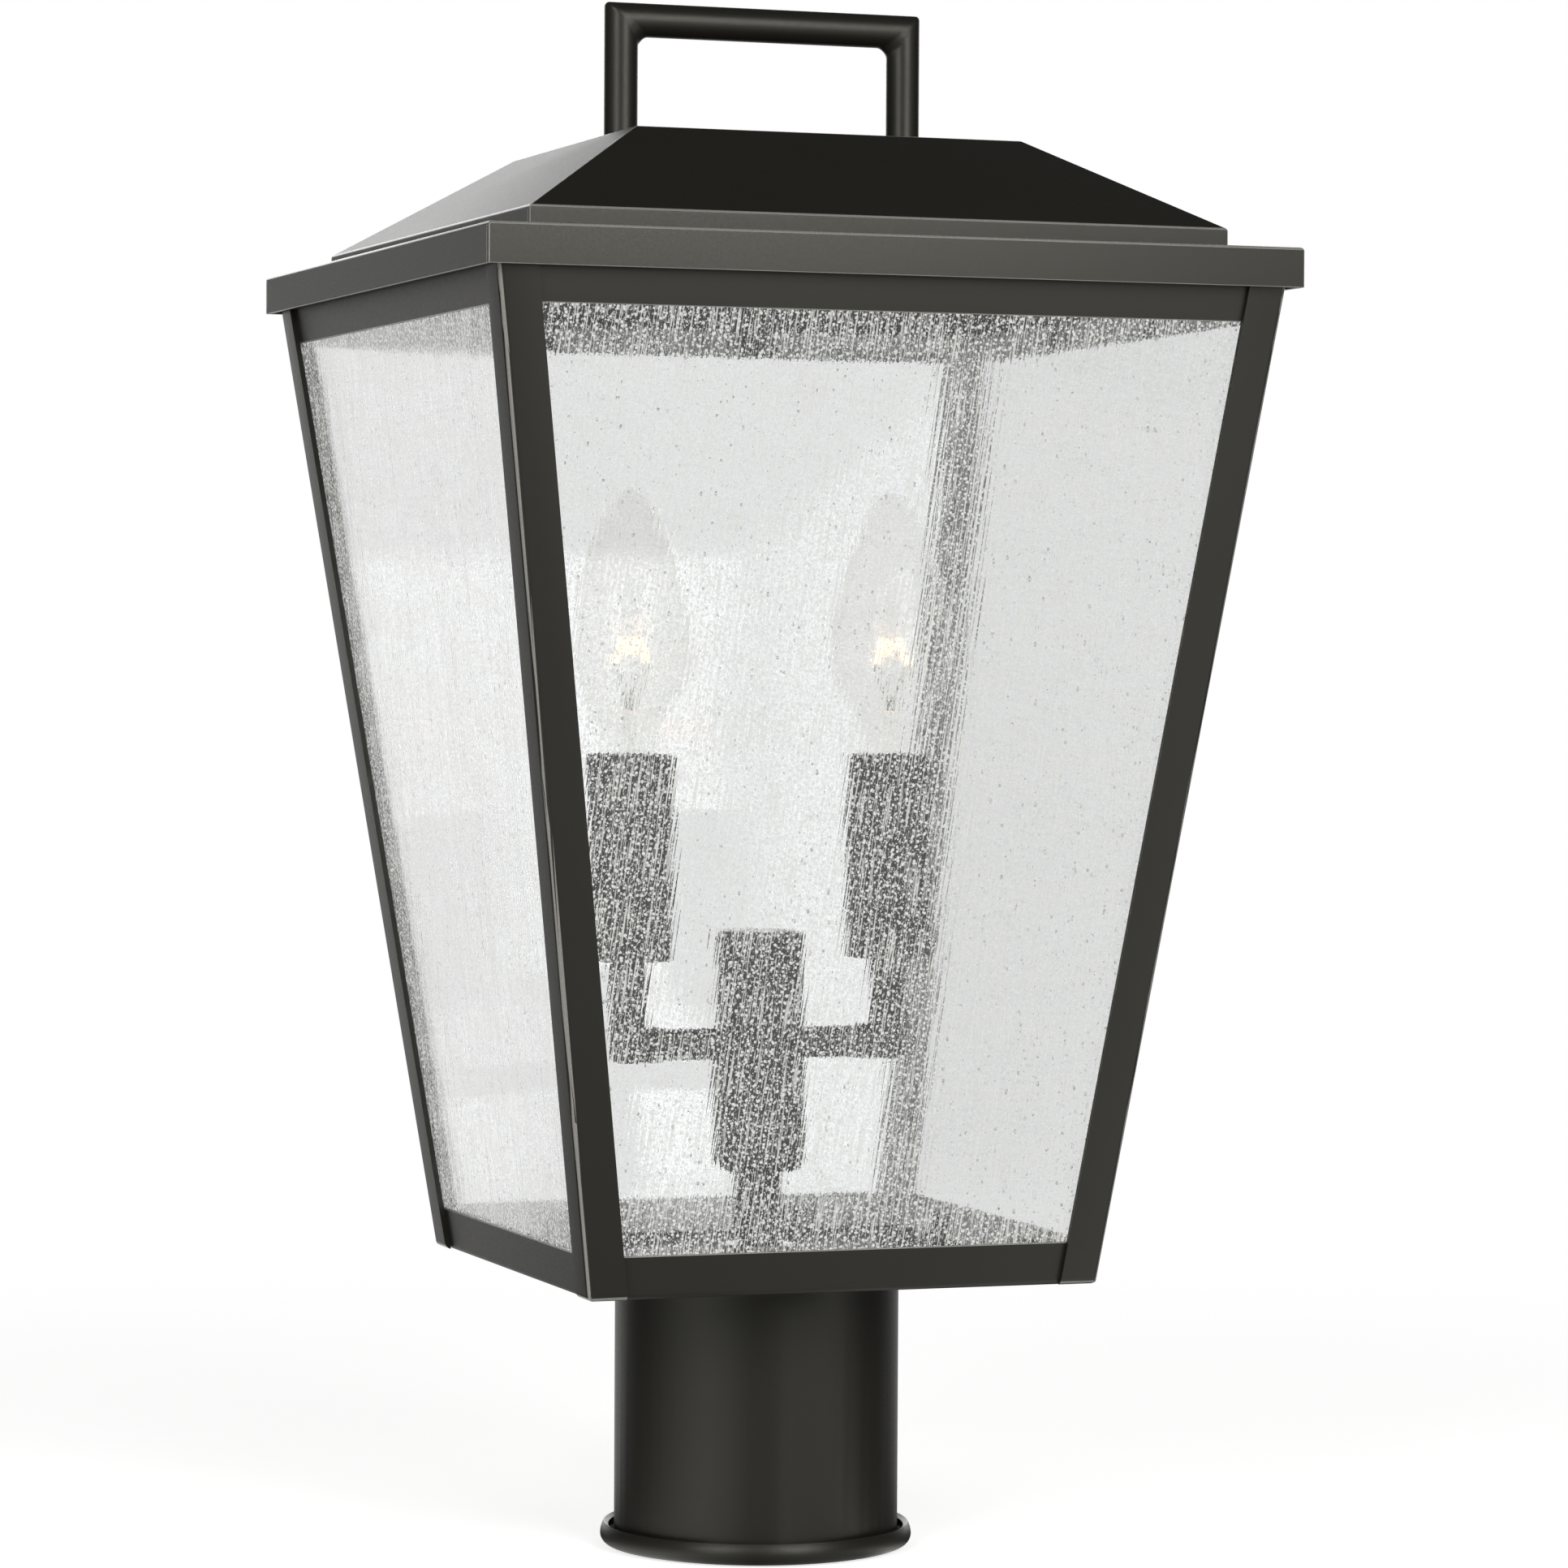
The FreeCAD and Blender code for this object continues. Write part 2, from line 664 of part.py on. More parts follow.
def bulb_glass():
    # the clear envelope, between an outer outline and the same outline a wall thinner
    outer, outer_tip_z = envelope(0)
    inner, inner_tip_z = envelope(bulb_wall)
    joints = [line((0, outer_tip_z), (0, inner_tip_z)),
              line((bulb_neck_radius - bulb_wall, bulb_glass_low_z), (bulb_neck_radius, bulb_glass_low_z))]
    outline = Part.__sortEdges__(outer + inner + joints)
    return moved(spun(outline), -candle_x, 0, 0)


def bulb_stem():
    # the glass stem that holds the leads: a flared foot drawn up to a slim pinch
    stem = Part.makeCone(stem_foot_radius, stem_top_radius, stem_height, point(0, 0, bulb_glass_low_z))
    return moved(stem, -candle_x, 0, 0)


def bulb_filament():
    # two leads splay out of the stem and hold a level coil between them, drawn here as its outer form
    stem_top_z = bulb_glass_low_z + stem_height + lead_radius / 2
    hook_z = bulb_glass_low_z + filament_rise
    left_end = point(-filament_half - filament_radius, 0, hook_z)
    whole = cylinder(filament_radius, 2 * (filament_half + filament_radius), left_end, point(1, 0, 0))
    for side in (-1, 1):
        foot = point(side * lead_spread, 0, stem_top_z)
        hook = point(side * filament_half, 0, hook_z)
        whole = whole.fuse(cylinder(lead_radius, (hook - foot).Length, foot, hook - foot))
    return moved(whole, -candle_x, 0, 0)


def corner_gaps(half, low_z, high_z):
    # front and back flanges run the full width; the side flanges stop short and leave narrow open joints
    gaps = []
    length = lid_sheet + 2 * overrun
    for x in (-half - overrun, half + overrun - length):
        for y in (lid_sheet - half, half - lid_sheet - corner_gap):
            gaps.append(Part.makeBox(length, corner_gap, high_z - low_z, point(x, y, low_z)))
    return gaps


def cornice():
    # a sheet folded down on four sides round a square hole; the back has open notches for the lid screws
    outer = pyramid(cornice_half, cage_top_z, cornice_half, cornice_top_z)
    upright = [e for e in outer.Edges if e.BoundBox.ZLength > cornice_height / 2]
    outer = outer.makeFillet(cornice_corner, upright)
    outer = outer.makeFillet(cornice_bend, edges_at(outer, cornice_top_z))
    inner_half = cornice_half - lid_sheet
    inner = pyramid(inner_half, cage_top_z - overrun, inner_half, cornice_top_z - lid_sheet)
    hole = pyramid(cornice_inner_half, cage_top_z, cornice_inner_half, cornice_top_z + overrun)
    band = outer.cut(inner).cut(hole)
    band = band.cut(corner_gaps(cornice_half, cage_top_z - overrun, cornice_top_z - lid_sheet))
    notch_radius = lid_screw_radius + notch_play
    for x in (-lid_screw_x, lid_screw_x):
        skirt_y = cornice_half - lid_sheet - overrun
        depth = lid_sheet + 2 * overrun
        drop = lid_screw_z - cage_top_z + overrun
        round_end = cylinder(notch_radius, depth, point(x, skirt_y, lid_screw_z), point(0, 1, 0))
        throat_corner = point(x - notch_radius, skirt_y, lid_screw_z - drop)
        throat = Part.makeBox(2 * notch_radius, depth, drop, throat_corner)
        band = band.cut(round_end).cut(throat)
    return band


def roof_block(inset):
    # rim and hipped slopes as one closed block, with every face drawn in by the inset
    run = roof_rim_half - roof_top_half
    slope_length = math.hypot(run, roof_slope_height)
    rim_half = roof_rim_half - inset
    # the slope's line, moved square to itself, meets the moved rim and the moved top
    lowered = inset * slope_length / run
    gradient = roof_slope_height / run
    rim_z = roof_rim_top_z + inset * gradient - lowered
    top_z = roof_top_z - inset
    top_half = rim_half - (top_z - rim_z) / gradient
    rim = pyramid(rim_half, cornice_top_z, rim_half, rim_z)
    return rim.fuse(pyramid(rim_half, rim_z, top_half, top_z)).removeSplitter(), rim_z, top_z


def roof():
    # a pressed sheet: upright rim, four slopes and a flat top that carries the handle
    outer, rim_z, top_z = roof_block(0)
    inner, inner_rim_z, inner_top_z = roof_block(lid_sheet)
    outer = outer.makeFillet(roof_bend, edges_at(outer, rim_z) + edges_at(outer, top_z))
    shell = outer.cut(inner).cut(corner_gaps(roof_rim_half, cornice_top_z - overrun, rim_z - lid_sheet))
    for x in (-handle_leg_x, handle_leg_x):
        start = point(x, 0, roof_top_z - lid_sheet - overrun)
        shell = shell.cut(cylinder(handle_screw_radius + running_play, lid_sheet + 2 * overrun, start))
    return shell


def handle_weld_web(side):
    # the weld that rounds off one inner corner of the handle
    under_z = handle_top_z - handle_bar
    inner_x = handle_leg_x - handle_bar / 2
    root = handle_bar / 4
    corner_points = [(inner_x + root, under_z + root), (inner_x + root, under_z - handle_weld),
                     (inner_x, under_z - handle_weld)]
    away = (inner_x - handle_weld, under_z - handle_weld)
    edges = [line(corner_points[0], corner_points[1]), line(corner_points[1], corner_points[2]),
             arc_about(away, handle_weld, 0, 90),
             line((away[0], under_z), (away[0], under_z + root)),
             line((away[0], under_z + root), corner_points[0])]
    web = Part.Face(Part.Wire(edges)).extrude(point(0, handle_weld_width, 0))
    web = moved(web, 0, -handle_weld_width / 2, 0)
    return web if side > 0 else mirrored(web)


def lift_handle():
    # a round bar with two mitred corners; each leg is drilled from below for its screw
    top_z = handle_top_z - handle_bar / 2
    path = Part.Wire(Part.makePolygon([point(-handle_leg_x, 0, roof_top_z), point(-handle_leg_x, 0, top_z),
                                       point(handle_leg_x, 0, top_z), point(handle_leg_x, 0, roof_top_z)]))
    section = Part.Wire([Part.Circle(point(-handle_leg_x, 0, roof_top_z), up, handle_bar / 2).toShape()])
    bar = path.makePipeShell([section], True, False, 1)
    for side in (-1, 1):
        bar = bar.fuse(handle_weld_web(side))
    for x in (-handle_leg_x, handle_leg_x):
        start = point(x, 0, roof_top_z - overrun)
        bar = bar.cut(cylinder(handle_screw_radius + running_play, handle_screw_depth + overrun, start))
    return bar


def handle_washers():
    hole = handle_screw_radius + running_play
    washer = ring(washer_radius, hole, under_roof_z - washer_thickness, under_roof_z)
    return Part.makeCompound([moved(washer, x, 0, 0) for x in (-handle_leg_x, handle_leg_x)])


def handle_screws():
    # pan-headed screws, up through washer and roof into the legs
    head_top_z = under_roof_z - washer_thickness
    head_low_z = head_top_z - handle_screw_head_height
    shank_length = washer_thickness + lid_sheet + handle_screw_depth - handle_screw_spare
    screws = []
    for x in (-handle_leg_x, handle_leg_x):
        head = cylinder(handle_screw_head, handle_screw_head_height, point(x, 0, head_low_z))
        head = head.makeChamfer(handle_screw_head_height / 2, edges_at(head, head_low_z))
        screws.append(head.fuse(cylinder(handle_screw_radius, shank_length, point(x, 0, head_top_z))))
    return Part.makeCompound(screws)


def locating_tabs():
    # four bent tabs under the cornice drop inside the frame's opening and centre the lid
    outside = -(lid_opening_half - tab_play)
    inside = outside + lid_sheet
    toe = -cornice_inner_half
    high_z = cornice_top_z - lid_sheet
    left = -tab_width / 2
    outline = polygon([point(left, outside, high_z), point(left, outside, high_z - tab_depth),
                       point(left, inside, high_z - tab_depth), point(left, inside, high_z - lid_sheet),
                       point(left, toe, high_z - lid_sheet), point(left, toe, high_z)])
    tab = Part.Face(outline).extrude(point(tab_width, 0, 0))
    return Part.makeCompound([turned(tab, 90 * quarter) for quarter in range(4)])


def lid_screw():
    # the left thumb screw: a round head outside the cornice and a shank through notch, rail and nut
    head_y = cornice_half + lid_gap
    backwards = point(0, 1, 0)
    head_start = point(-lid_screw_x, head_y, lid_screw_z)
    head = cylinder(lid_screw_head_radius, lid_screw_head, head_start, backwards)
    rounded = [e for e in head.Edges if e.BoundBox.YMin > head_y + lid_screw_head / 2]
    head = head.makeChamfer(lid_screw_bevel, rounded)
    shank_end = point(-lid_screw_x, head_y - lid_screw_reach, lid_screw_z)
    shank = cylinder(lid_screw_radius, lid_screw_reach, shank_end, backwards)
    return head.fuse(shank).removeSplitter()


def lid_nuts():
    # nuts welded to the inner face of the leaning back rail, and cut to its slope
    face_y = cage_half(lid_screw_z) - rail_inset - rail_sheet
    bar = hexagon(lid_nut_flats, lid_nut_length + lid_nut_flats)
    bar.rotate(centre, point(1, 0, 0), -90)
    bar.translate(point(-lid_screw_x, face_y - lid_nut_length, lid_screw_z))
    behind = cage_block(rail_inset + rail_sheet, top_rail_low_z, frame_top_z)
    nut = bar.common(behind)
    hole_start = point(-lid_screw_x, 0, lid_screw_z)
    nut = nut.cut(cylinder(lid_screw_radius + running_play, cornice_half, hole_start, point(0, 1, 0)))
    return Part.makeCompound([nut, mirrored(nut)])


def left_and_right(name, shape):
    return {name + "_left": shape, name + "_right": mirrored(shape)}


def lantern():
    pieces = {"fitter_tube": fitter_tube(), "base_tray": base_tray()}
    post = corner_post()
    for quarter, corner in enumerate(corners):
        pieces["corner_post_" + corner] = turned(post, 90 * quarter)
    for side in sides:
        pieces["top_rail_" + side] = top_rail(side)
        pieces["pane_" + side] = pane(side)
    pieces["pane_clips"] = pane_clips()
    pieces["nipple"] = nipple()
    pieces["nipple_nut"] = nipple_nut()
    pieces["cluster_body"] = cluster_body()
    pieces["cluster_cap"] = cluster_cap()
    pieces["riser_nuts"] = riser_nuts()
    for name, shape in (("arm", arm()), ("riser", riser()), ("candle_sleeve", candle_sleeve()),
                        ("lampholder", lampholder()), ("socket_shell", socket_shell()),
                        ("socket_contact", socket_contact()), ("bulb_base", bulb_base()),
                        ("bulb_glass", bulb_glass()), ("bulb_stem", bulb_stem()),
                        ("bulb_filament", bulb_filament()), ("lid_screw", lid_screw())):
        pieces.update(left_and_right(name, shape))
    for name, direction in zip(("left", "right"), screw_directions()):
        pieces["fitter_screw_" + name] = fitter_screw(direction)
    pieces["lid_nuts"] = lid_nuts()
    pieces["cornice"] = cornice()
    pieces["roof"] = roof()
    pieces["lift_handle"] = lift_handle()
    pieces["handle_washers"] = handle_washers()
    pieces["handle_screws"] = handle_screws()
    pieces["locating_tabs"] = locating_tabs()
    return pieces


os.makedirs("parts", exist_ok=True)
for node, shape in lantern().items():
    if not shape.isValid():
        raise RuntimeError(node + " is not a valid shape")
    shape.exportStep("parts/" + node + ".step")
    print(node, len(shape.Solids), "solids", round(shape.Volume, 1), "mm3")
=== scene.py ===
import json
import math
import bmesh
import bpy
import numpy as np
from mathutils import Matrix, Vector


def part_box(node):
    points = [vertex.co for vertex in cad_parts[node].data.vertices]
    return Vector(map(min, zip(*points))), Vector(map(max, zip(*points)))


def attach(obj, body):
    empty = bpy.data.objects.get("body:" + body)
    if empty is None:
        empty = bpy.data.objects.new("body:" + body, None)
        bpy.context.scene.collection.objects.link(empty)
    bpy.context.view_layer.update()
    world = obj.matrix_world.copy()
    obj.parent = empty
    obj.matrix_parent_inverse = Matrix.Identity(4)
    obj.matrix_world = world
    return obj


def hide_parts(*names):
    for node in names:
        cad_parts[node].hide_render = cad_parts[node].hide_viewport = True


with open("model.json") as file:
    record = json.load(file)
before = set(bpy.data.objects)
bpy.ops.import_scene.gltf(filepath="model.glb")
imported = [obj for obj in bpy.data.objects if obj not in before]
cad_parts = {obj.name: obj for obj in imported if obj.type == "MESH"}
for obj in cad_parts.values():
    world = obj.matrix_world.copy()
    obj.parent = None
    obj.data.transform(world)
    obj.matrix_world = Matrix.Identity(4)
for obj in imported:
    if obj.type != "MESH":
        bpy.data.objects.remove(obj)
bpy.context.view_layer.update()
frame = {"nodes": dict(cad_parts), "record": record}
mm = 0.001
bodyOfNode = {node: body for body, nodes in frame["record"]["behaviour"]["bodies"].items() for node in nodes}
slotOfNode = {part["node"]: part["material_slot"] for part in frame["record"]["subparts"]}


# camera: where the photograph was taken from, solved from the lantern's straight edges

cameraView = {
    "place": (-0.50904, -1.43811, 0.24986),  # metres
    "azimuth": -19.753,                      # degrees round from the front
    "elevation": 1.345,
    "roll": 0.308,
    "sensor": 36,                            # millimetres wide
    "lens": 124.39,
    "farEnd": 50,
}


def towards(azimuth, elevation):
    # the way from the lantern to a place so many degrees round from the front and up
    turn, rise = math.radians(azimuth), math.radians(elevation)
    return Vector((math.sin(turn) * math.cos(rise), -math.cos(turn) * math.cos(rise), math.sin(rise)))


def placeCamera(view):
    turn = math.radians(view["azimuth"])
    right = Vector((math.cos(turn), math.sin(turn), 0))
    back = towards(view["azimuth"], view["elevation"])
    level = Matrix((right, back.cross(right), back)).transposed().to_4x4()
    rolled = level @ Matrix.Rotation(math.radians(view["roll"]), 4, "Z")
    camera = bpy.data.objects.new("camera", bpy.data.cameras.new("camera"))
    camera.data.lens = view["lens"]
    camera.data.sensor_width = view["sensor"]
    camera.data.clip_end = view["farEnd"]
    camera.matrix_world = Matrix.Translation(view["place"]) @ rolled
    bpy.context.scene.collection.objects.link(camera)
    bpy.context.scene.camera = camera


placeCamera(cameraView)
bpy.context.scene.view_settings.view_transform = "Standard"
print("camera placed")


# nodes and colours

def linearColour(hexCode):
    # an sRGB hex value as linear red, green, blue and full alpha
    parts = [int(hexCode[i:i + 2], 16) / 255 for i in (1, 3, 5)]
    return [p / 12.92 if p < 0.04045 else ((p + 0.055) / 1.055) ** 2.4 for p in parts] + [1.0]


def addNode(tree, kind, inputs=None, **settings):
    # one node: its settings, then its sockets, each a value or a link from another socket
    node = tree.nodes.new(kind)
    for name, value in settings.items():
        setattr(node, name, value)
    for name, value in (inputs or {}).items():
        if isinstance(value, bpy.types.NodeSocket):
            tree.links.new(value, node.inputs[name])
        else:
            node.inputs[name].default_value = value
    return node


def newMaterial(name):
    material = bpy.data.materials.new(name)
    material.use_nodes = True
    tree = material.node_tree
    tree.nodes.clear()
    place = addNode(tree, "ShaderNodeTexCoord")
    return material, tree, place.outputs["Object"]


def finishMaterial(tree, **sockets):
    named = {name.replace("_", " "): value for name, value in sockets.items()}
    shader = addNode(tree, "ShaderNodeBsdfPrincipled", named)
    addNode(tree, "ShaderNodeOutputMaterial", {"Surface": shader.outputs[0]})


# studio: a white sweep behind, a dark room all round, and a softbox on either side of the camera

studio = {
    "middle": (0, 0, 0.22),      # what the lights look at, metres
    "surround": "#ffffff",
    "backGlow": 3.3,             # the lit white sweep behind the lantern, as reflections see it
    "backWide": (0.78, 0.99),    # cosine of the turn from straight behind where it starts and is full
    "backHigh": (0.25, 0.50),    # sine of the height where it is full and where it ends
    "roomGlow": 0.05,            # the unlit rest of the room
    "floorRadius": 30.0,
    "floorDrop": 0.0004,         # below the fitter's lowest point
    "floorPaint": "#e9e9e7",
    "floorLift": 0.72,           # light added to the paint, so that the floor comes out near white
    "floorFade": (0.08, 0.75),   # how far out the paint starts to run into the surround, and where it ends
}

# the floor as reflections see it: degrees round from the camera's side, and its light
floorGlow = [
    (-180, 1.0), (-150, 0.85), (-138, 0.75), (-122, 0.08), (-98, 0.06), (-82, 0.25), (-58, 0.95), (-38, 1.35),
    (-18, 0.6), (0, 0.2), (18, 0.38), (46, 0.52), (62, 1.35), (74, 0.6), (86, 0.05), (120, 0.08), (150, 0.5),
    (180, 1.0),
]

softboxes = {  # degrees round from the front and up, metres, watts
    "softboxLeft": {
        "azimuth": -48, "elevation": 22, "distance": 1.8, "width": 0.7, "height": 1.1, "power": 12},
    "softboxRight": {
        "azimuth": 13, "elevation": 22, "distance": 1.8, "width": 0.8, "height": 1.1, "power": 16},
}


def seenStraight(tree):
    # one for what the camera sees straight on or by way of glass alone, nought for what the lantern reflects
    path = addNode(tree, "ShaderNodeLightPath").outputs
    through = addNode(tree, "ShaderNodeMath", {
        0: path["Transmission Depth"], 1: 0.5}, operation="GREATER_THAN")
    bounces = addNode(tree, "ShaderNodeMath", {
        0: path["Diffuse Depth"], 1: path["Glossy Depth"]}, operation="ADD")
    none = addNode(tree, "ShaderNodeMath", {0: bounces.outputs[0], 1: 0.5}, operation="LESS_THAN")
    unbounced = addNode(tree, "ShaderNodeMath", {
        0: through.outputs[0], 1: none.outputs[0]}, operation="MULTIPLY")
    straight = addNode(tree, "ShaderNodeMath", {
        0: path["Is Camera Ray"], 1: unbounced.outputs[0]}, operation="MAXIMUM")
    return straight.outputs[0]


def buildSurround(settings, view):
    # what is seen straight on or through glass is white; what is reflected is bright only low down behind
    world = bpy.data.worlds.new("surround")
    world.use_nodes = True
    tree = world.node_tree
    tree.nodes.clear()
    bpy.context.scene.world = world
    direction = addNode(tree, "ShaderNodeTexCoord").outputs["Generated"]
    turn = math.radians(view["azimuth"])
    behind = (-math.sin(turn), math.cos(turn), 0)
    flat = addNode(tree, "ShaderNodeVectorMath", {0: direction, 1: (1, 1, 0)}, operation="MULTIPLY")
    level = addNode(tree, "ShaderNodeVectorMath", {0: flat.outputs[0]}, operation="NORMALIZE")
    facing = addNode(tree, "ShaderNodeVectorMath", {0: level.outputs[0], 1: behind}, operation="DOT_PRODUCT")
    wide = addNode(tree, "ShaderNodeMapRange", {
        "Value": facing.outputs["Value"], "From Min": settings["backWide"][0],
        "From Max": settings["backWide"][1]}, interpolation_type="SMOOTHSTEP")
    height = addNode(tree, "ShaderNodeSeparateXYZ", {0: direction})
    low = addNode(tree, "ShaderNodeMapRange", {
        "Value": height.outputs["Z"], "From Min": settings["backHigh"][0],
        "From Max": settings["backHigh"][1], "To Min": 1.0, "To Max": 0.0}, interpolation_type="SMOOTHSTEP")
    both = addNode(tree, "ShaderNodeMath", {0: wide.outputs[0], 1: low.outputs[0]}, operation="MULTIPLY")
    glow = addNode(tree, "ShaderNodeMapRange", {
        "Value": both.outputs[0], "To Min": settings["roomGlow"], "To Max": settings["backGlow"]})
    strength = addNode(tree, "ShaderNodeMix", {
        "Factor": seenStraight(tree), "A": glow.outputs[0], "B": 1.0}, data_type="FLOAT")
    back = addNode(tree, "ShaderNodeBackground", {
        "Color": linearColour(settings["surround"]), "Strength": strength.outputs[0]})
    addNode(tree, "ShaderNodeOutputWorld", {"Surface": back.outputs[0]})


def buildFloor(settings, glows, view):
    # a pale floor: lit close to the lantern, running out into the white surround
    radius, level = settings["floorRadius"], -settings["floorDrop"]
    corners = [(-radius, -radius), (radius, -radius), (radius, radius), (-radius, radius)]
    mesh = bpy.data.meshes.new("floor")
    mesh.from_pydata([(x, y, level) for x, y in corners], [], [(0, 1, 2, 3)])
    floor = bpy.data.objects.new("floor", mesh)
    bpy.context.scene.collection.objects.link(floor)
    material, tree, place = newMaterial("paleFloor")
    away = addNode(tree, "ShaderNodeVectorMath", {0: place}, operation="LENGTH")
    fade = addNode(tree, "ShaderNodeMapRange", {
        "Value": away.outputs["Value"], "From Min": settings["floorFade"][0],
        "From Max": settings["floorFade"][1]}, interpolation_type="SMOOTHSTEP")
    # turned so that the camera's side is at nought, then the angle round from there
    turned = addNode(tree, "ShaderNodeVectorRotate", {
        "Vector": place, "Angle": math.radians(90 - view["azimuth"])}, rotation_type="Z_AXIS")
    flat = addNode(tree, "ShaderNodeSeparateXYZ", {0: turned.outputs[0]})
    angle = addNode(tree, "ShaderNodeMath", {0: flat.outputs["Y"], 1: flat.outputs["X"]}, operation="ARCTAN2")
    share = addNode(tree, "ShaderNodeMapRange", {
        "Value": angle.outputs[0], "From Min": -math.pi, "From Max": math.pi})
    ramp = addNode(tree, "ShaderNodeValToRGB", {"Fac": share.outputs[0]})
    stops = ramp.color_ramp.elements
    peak = max(light for degrees, light in glows)
    for number, (degrees, light) in enumerate(glows):
        stop = stops[number] if number < 2 else stops.new(1.0)
        stop.position = (degrees + 180) / 360
        stop.color = [light / peak] * 3 + [1.0]
    glow = addNode(tree, "ShaderNodeEmission", {"Color": ramp.outputs["Color"], "Strength": peak})
    white = addNode(tree, "ShaderNodeEmission", {"Color": linearColour(settings["surround"])})
    paint = addNode(tree, "ShaderNodeBsdfDiffuse", {"Color": linearColour(settings["floorPaint"])})
    lift = addNode(tree, "ShaderNodeEmission", {"Strength": settings["floorLift"]})
    lit = addNode(tree, "ShaderNodeAddShader", {0: paint.outputs[0], 1: lift.outputs[0]})
    straight = addNode(tree, "ShaderNodeMixShader", {
        0: fade.outputs[0], 1: lit.outputs[0], 2: white.outputs[0]})
    mix = addNode(tree, "ShaderNodeMixShader", {
        0: seenStraight(tree), 1: glow.outputs[0], 2: straight.outputs[0]})
    addNode(tree, "ShaderNodeOutputMaterial", {"Surface": mix.outputs[0]})
    mesh.materials.append(material)


def addSoftbox(name, settings, middle):
    away = towards(settings["azimuth"], settings["elevation"])
    light = bpy.data.lights.new(name, "AREA")
    light.shape = "RECTANGLE"
    light.size, light.size_y = settings["width"], settings["height"]
    light.energy = settings["power"]
    box = bpy.data.objects.new(name, light)
    box.location = Vector(middle) + away * settings["distance"]
    box.rotation_euler = away.to_track_quat("Z", "Y").to_euler()
    box.visible_camera = False
    bpy.context.scene.collection.objects.link(box)


buildSurround(studio, cameraView)
buildFloor(studio, floorGlow, cameraView)
for name, settings in softboxes.items():
    addSoftbox(name, settings, studio["middle"])
print("studio lit")


# finishes

coat = {
    "grain": 0.7,              # millimetres across, as are the peel, the clouds and the relief
    "peel": 4.5,
    "cloud": 55,
    "relief": 0.02,
    "uneven": 0.04,            # of roughness, either way
    "mirrorTint": "#fffef3",
}


def powderCoat(name, dark, light, roughness, settings):
    # polyester powder coat in dark bronze, sprayed and baked: satin, very fine grain, no metal flake to see
    material, tree, place = newMaterial(name)
    grain = addNode(tree, "ShaderNodeTexNoise", {
        "Vector": place, "Scale": 1 / (settings["grain"] * mm), "Detail": 3.0, "Roughness": 0.6})
    peel = addNode(tree, "ShaderNodeTexNoise", {
        "Vector": place, "Scale": 1 / (settings["peel"] * mm), "Detail": 1.0})
    cloud = addNode(tree, "ShaderNodeTexNoise", {
        "Vector": place, "Scale": 1 / (settings["cloud"] * mm), "Detail": 2.0})
    shade = addNode(tree, "ShaderNodeMix", {
        "Factor": cloud.outputs["Fac"], "A": linearColour(dark), "B": linearColour(light)}, data_type="RGBA")
    sheen = addNode(tree, "ShaderNodeMapRange", {
        "Value": grain.outputs["Fac"], "From Min": 0.3, "From Max": 0.7,
        "To Min": roughness - settings["uneven"], "To Max": roughness + settings["uneven"]})
    relief = {"Distance": settings["relief"] * mm, "Strength": 0.5}
    slow = addNode(tree, "ShaderNodeBump", {"Height": peel.outputs["Fac"], **relief})
    fine = addNode(tree, "ShaderNodeBump", {
        "Height": grain.outputs["Fac"], "Normal": slow.outputs[0], **relief})
    finishMaterial(tree, Base_Color=shade.outputs[2], Roughness=sheen.outputs[0], Normal=fine.outputs[0],
                   Specular_Tint=linearColour(settings["mirrorTint"]))
    return material


# the marks in the panes, in millimetres
glassMarks = {
    "lean": 6,                           # degrees that the draw leans over
    "strand": (0.9, 40),                 # how wide each kind is, and how long it is along the draw
    "skin": (0.65, 1.0),
    "scratch": (0.45, 18),
    "seedEvery": 1.7,
    "seedReach": (0.06, 0.34),           # smallest and largest, in shares of that
    "seedShows": (1.0, 1.6, 0.97),       # where a mark starts and where it is full, and how much painted glow covers it
    "scratchShows": (0.62, 0.71, 0.75),
    "pimpleShows": (0.60, 0.70, 0.62),
    "glowBetweenMarks": 0.02,                        # how much painted glow covers the clear glass between the marks
    "seenInside": 0.45,                  # what is left of a mark's painted glow on a pane that is seen through another
    "strandRelief": 0.028,
    "skinRelief": 0.004,
    "paintedGlow": "#eeeeea",               # colour of the painted glow over the marks, for the light they scatter from all round
    "paintedGlowLight": 0.87,
}


